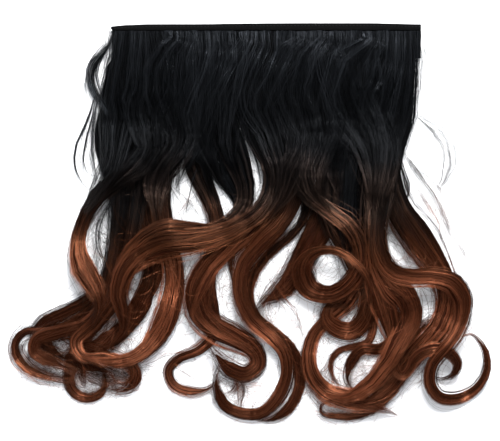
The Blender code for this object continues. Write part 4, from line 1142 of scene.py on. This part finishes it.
band_finish, band_nodes, band_shader, weave = mottled_finish(
    "band_cloth", 0.95, WEAVE_SCALE, 2.0, (0.3, 0.7), (0.0008, 0.0028), Specular_IOR_Level=0.08)
band_nodes.links.new(node(band_nodes, "ShaderNodeBump", 0.5, WEAVE_DEPTH, None, weave), band_shader["Normal"])
thread_finish = mottled_finish(
    "sewing_thread", 0.7, TWIST_SCALE, 1.0, (0.3, 0.7), (0.004, 0.016), Specular_IOR_Level=0.3)[0]

hem_x = np.linspace(-0.5, 0.5, HEM_STATIONS) * WEFT_WIDTH
hem_shares, hem_drops = zip(*HEM_EDGE)
hem_drop = running(np.interp(hem_x / WEFT_WIDTH + 0.5, hem_shares, hem_drops), 4, "mean")
pucker = np.random.default_rng(61).normal(0.0, 1.0, (2, HEM_STATIONS))
pucker = [running(values, 2, "mean") for values in pucker]
hem_top = BAND_Z + HEM_THICKNESS
band_top_face = BAND_Z + BAND_THICKNESS
hem_rings = []
for x, drop, fold, dent in zip(hem_x, hem_drop, *pucker):
    back = -drop - FOLD_DEPTH * abs(fold)
    crest = hem_top - DENT_DEPTH * abs(dent)
    low = HEM_BOTTOM + LOW_EDGE_WAVE * abs(fold)
    stitched = -drop - STITCH_DROP
    outline = [(HEM_BOTTOM - BAND_HEIGHT, BAND_Z), (BAND_MIDDLE, BAND_Z), (back - HEM_ROLL, BAND_Z)]
    for degrees in (60.0, 30.0, 0.0, -30.0, -60.0):
        turn = math.radians(degrees)
        middle = BAND_Z + HEM_ROLL if degrees > 0.0 else crest - HEM_ROLL
        outline.append((back - HEM_ROLL * (1.0 - math.cos(turn)), middle - HEM_ROLL * math.sin(turn)))
    outline += [
        (back - HEM_ROLL, crest), (stitched + STITCH_GROOVE, crest), (stitched, crest - STITCH_SINK),
        (stitched - STITCH_GROOVE, crest), (low + 0.5 * HEM_LOWER_ROLL, crest),
        (low + 0.0001, crest - 0.0003), (low, crest - HEM_LOWER_ROLL), (HEM_BOTTOM, band_top_face),
        (BAND_MIDDLE, band_top_face),
        (HEM_BOTTOM - BAND_HEIGHT, band_top_face)]
    hem_rings.append([(x, BAND_TOP + y, z) for y, z in outline])
band_cloth = sweep_strip("band_cloth", hem_rings, band_finish)

STITCH_PITCH = 0.0030
STITCH_LENGTH = 0.0023
STITCH_LEAN = 0.12
STITCH_BITE = 0.0002
THREAD_WIDTH = 0.00032


def stitch_tree():
    """Stitches at even steps along a line: a short rounded thread at each, sunk at both its ends."""
    tree, given = new_tree("stitches_on_hem", (
        ("Pitch", "Float", STITCH_PITCH), ("Length", "Float", STITCH_LENGTH),
        ("Thread width", "Float", THREAD_WIDTH), ("Seed", "Int", 1), ("Finish", "Material", None)))
    line = node(tree, "GeometryNodeMeshToCurve", given["Geometry"])
    points = node(tree, "GeometryNodeCurveToPoints", line, given["Pitch"], mode="LENGTH")
    thread = node(tree, "GeometryNodeMeshUVSphere", 6, 6, 0.5)
    size = node(tree, "ShaderNodeCombineXYZ", given["Length"], given["Thread width"], given["Thread width"])
    stitch = node(tree, "GeometryNodeTransform", thread, None, None, size)
    lean = node(tree, "FunctionNodeRandomValue", -STITCH_LEAN, STITCH_LEAN, None, given["Seed"],
                data_type="FLOAT")
    turned = node(tree, "ShaderNodeCombineXYZ", 0.0, 0.0, lean)
    placed = node(tree, "GeometryNodeInstanceOnPoints", points, True, stitch, False, None, turned)
    solid = node(tree, "GeometryNodeRealizeInstances", placed)
    smooth = node(tree, "GeometryNodeSetShadeSmooth", solid, True, True)
    node(tree, "NodeGroupOutput", node(tree, "GeometryNodeSetMaterial", smooth, True, given["Finish"]))
    return tree


stitch_z = hem_top - STITCH_BITE
stitched_hem = zip(hem_x[2:-1], hem_drop[2:-1])
stitch_points = [(x, BAND_TOP - drop - STITCH_DROP, stitch_z) for x, drop in stitched_hem]
stitch_guide = add_mesh("stitch_line", stitch_points, [(i, i + 1) for i in range(len(stitch_points) - 1)], [])
stitches = grow_on(stitch_guide, stitch_tree(), "hem_stitches", (
    ("Pitch", STITCH_PITCH), ("Length", STITCH_LENGTH), ("Thread width", THREAD_WIDTH), ("Seed", 62),
    ("Finish", thread_finish)))

KNOT_RADIUS = 0.0013
KNOT_STEP = 0.0005
KNOT_OVERHANG = 0.0012
KNOT_DROP = 0.0043
KNOT_RISE = 0.0030
KNOT_SWELLS = (0.35, 0.8, 1.0, 0.72, 0.95, 1.0, 0.7, 0.3)
knot_rings = []
for i, swell in enumerate(KNOT_SWELLS):
    ring = []
    for turn in np.linspace(0.0, 2.0 * math.pi, 12, endpoint=False):
        ring.append((-0.5 * WEFT_WIDTH - KNOT_OVERHANG + KNOT_STEP * i,
                     BAND_TOP - KNOT_DROP + KNOT_RADIUS * swell * math.cos(turn),
                     BAND_Z + KNOT_RISE + KNOT_RADIUS * swell * math.sin(turn)))
    knot_rings.append(ring)
knot = sweep_strip("thread_knot", knot_rings, band_finish)

FRAY_ENDS = ((1.0, 34), (-1.0, 10))
FRAY_DROP = (0.0012, 0.0080)
FRAY_REACH = (0.0008, 0.0026)
FRAY_RISE = (0.0004, 0.0048)
FRAY_ROOT = 0.0010
FRAY_BEND = 0.0006
FRAY_SPREAD = 0.0014
FRAY_WIDTH = 0.0004
FRAY_TIP_WIDTH = 0.0003
FRAY_WANDER = 0.5
chance = np.random.default_rng(63)
frayed = []
for end, count in FRAY_ENDS:
    for _ in range(count):
        x = end * 0.5 * WEFT_WIDTH
        y = BAND_TOP - chance.uniform(*FRAY_DROP)
        reach = chance.uniform(*FRAY_REACH)
        thread = Route([
            (x - end * FRAY_ROOT, y, FRAY_WIDTH),
            (x + end * 0.5 * reach, y + chance.normal(0.0, FRAY_BEND), FRAY_WIDTH),
            (x + end * reach, y + chance.normal(0.0, FRAY_SPREAD), FRAY_TIP_WIDTH)])
        thread.height = np.full(len(thread.along), BAND_Z + chance.uniform(*FRAY_RISE))
        frayed.append((thread, 2))
fray = grow_strands("frayed_threads", frayed, THREAD_WIDTH, THREAD_WIDTH, FRAY_WANDER, 64)
fray.data.materials.clear()
fray.data.materials.append(band_finish)

for piece in (band_cloth, stitches, knot, fray):
    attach(piece, "root")
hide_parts("weft_band")


# Clips
# Comb clips stamped from sheet steel and dipped in black lacquer, sewn flat under the band at even steps.
# The band hides them, so each keeps the plain shape of its solid.
RUB_SCALE = 160.0
clip_finish = mottled_finish("clip_lacquer", 0.38, RUB_SCALE, 4.0, (0.3, 0.8), (0.006, 0.03), Metallic=0.3)[0]
for name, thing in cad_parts.items():
    if name.startswith("clip_"):
        thing.data.materials.clear()
        thing.data.materials.append(clip_finish)


# Table, light and camera
# A plain white surface under a broad soft light from the band's side and a wide one above, in a pale room.
# The camera looks straight down, and its lens sets the band's width in the picture to the photograph's.
TABLE_REACH = 3.0
LIGHTS = (
    ("window", (0.25, 1.02, 1.55), 0.8, 76.0),
    ("ceiling", (0.1, -0.3, 2.0), 2.4, 20.0),
)
LIT_PLACE = (0.0, -0.17, 0.0)

table_finish, _, table_shader = new_material("white_table", 0.9, Specular_IOR_Level=0.1)
table_shader["Base Color"].default_value = (0.96, 0.96, 0.97, 1.0)
table_corners = [(x * TABLE_REACH, y * TABLE_REACH, 0.0) for x, y in ((-1, -1), (1, -1), (1, 1), (-1, 1))]
table = add_mesh("table", table_corners, [], [(0, 1, 2, 3)])
table.data.materials.append(table_finish)

for name, place, size, power in LIGHTS:
    light = bpy.data.lights.new(name, "AREA")
    light.shape = "SQUARE"
    light.size = size
    light.energy = power
    lamp = add_object(name, light)
    lamp.location = place
    x, y, z = np.array(LIT_PLACE) - np.array(place)
    lamp.rotation_euler = (math.atan2(math.hypot(x, y), -z), 0.0, math.atan2(x, -y) + math.pi)
room = bpy.data.worlds.new("room")
room.use_nodes = True
room.node_tree.nodes["Background"].inputs["Color"].default_value = (0.88, 0.93, 1.0, 1.0)
room.node_tree.nodes["Background"].inputs["Strength"].default_value = 0.50
bpy.context.scene.world = room
bpy.context.scene.view_settings.view_transform = "Standard"

PHOTO_WIDTH = 500
PHOTO_HEIGHT = 441
BAND_LEFT_PX = 112.0
BAND_RIGHT_PX = 421.0
BAND_TOP_PX = 23.0
CAMERA_HEIGHT = 2.2
HAIR_LEVEL = 0.008
SENSOR_WIDTH = 36.0
metres_per_px = WEFT_WIDTH / (BAND_RIGHT_PX - BAND_LEFT_PX)
camera_data = bpy.data.cameras.new("camera")
camera = add_object("camera", camera_data)
centre_x = (0.5 * PHOTO_WIDTH - 0.5 * (BAND_LEFT_PX + BAND_RIGHT_PX)) * metres_per_px
centre_y = BAND_TOP - (0.5 * PHOTO_HEIGHT - BAND_TOP_PX) * metres_per_px
camera.location = (centre_x, centre_y, CAMERA_HEIGHT)
camera_data.sensor_width = SENSOR_WIDTH
camera_data.lens = SENSOR_WIDTH * (CAMERA_HEIGHT - HAIR_LEVEL) / (PHOTO_WIDTH * metres_per_px)
bpy.context.scene.camera = camera
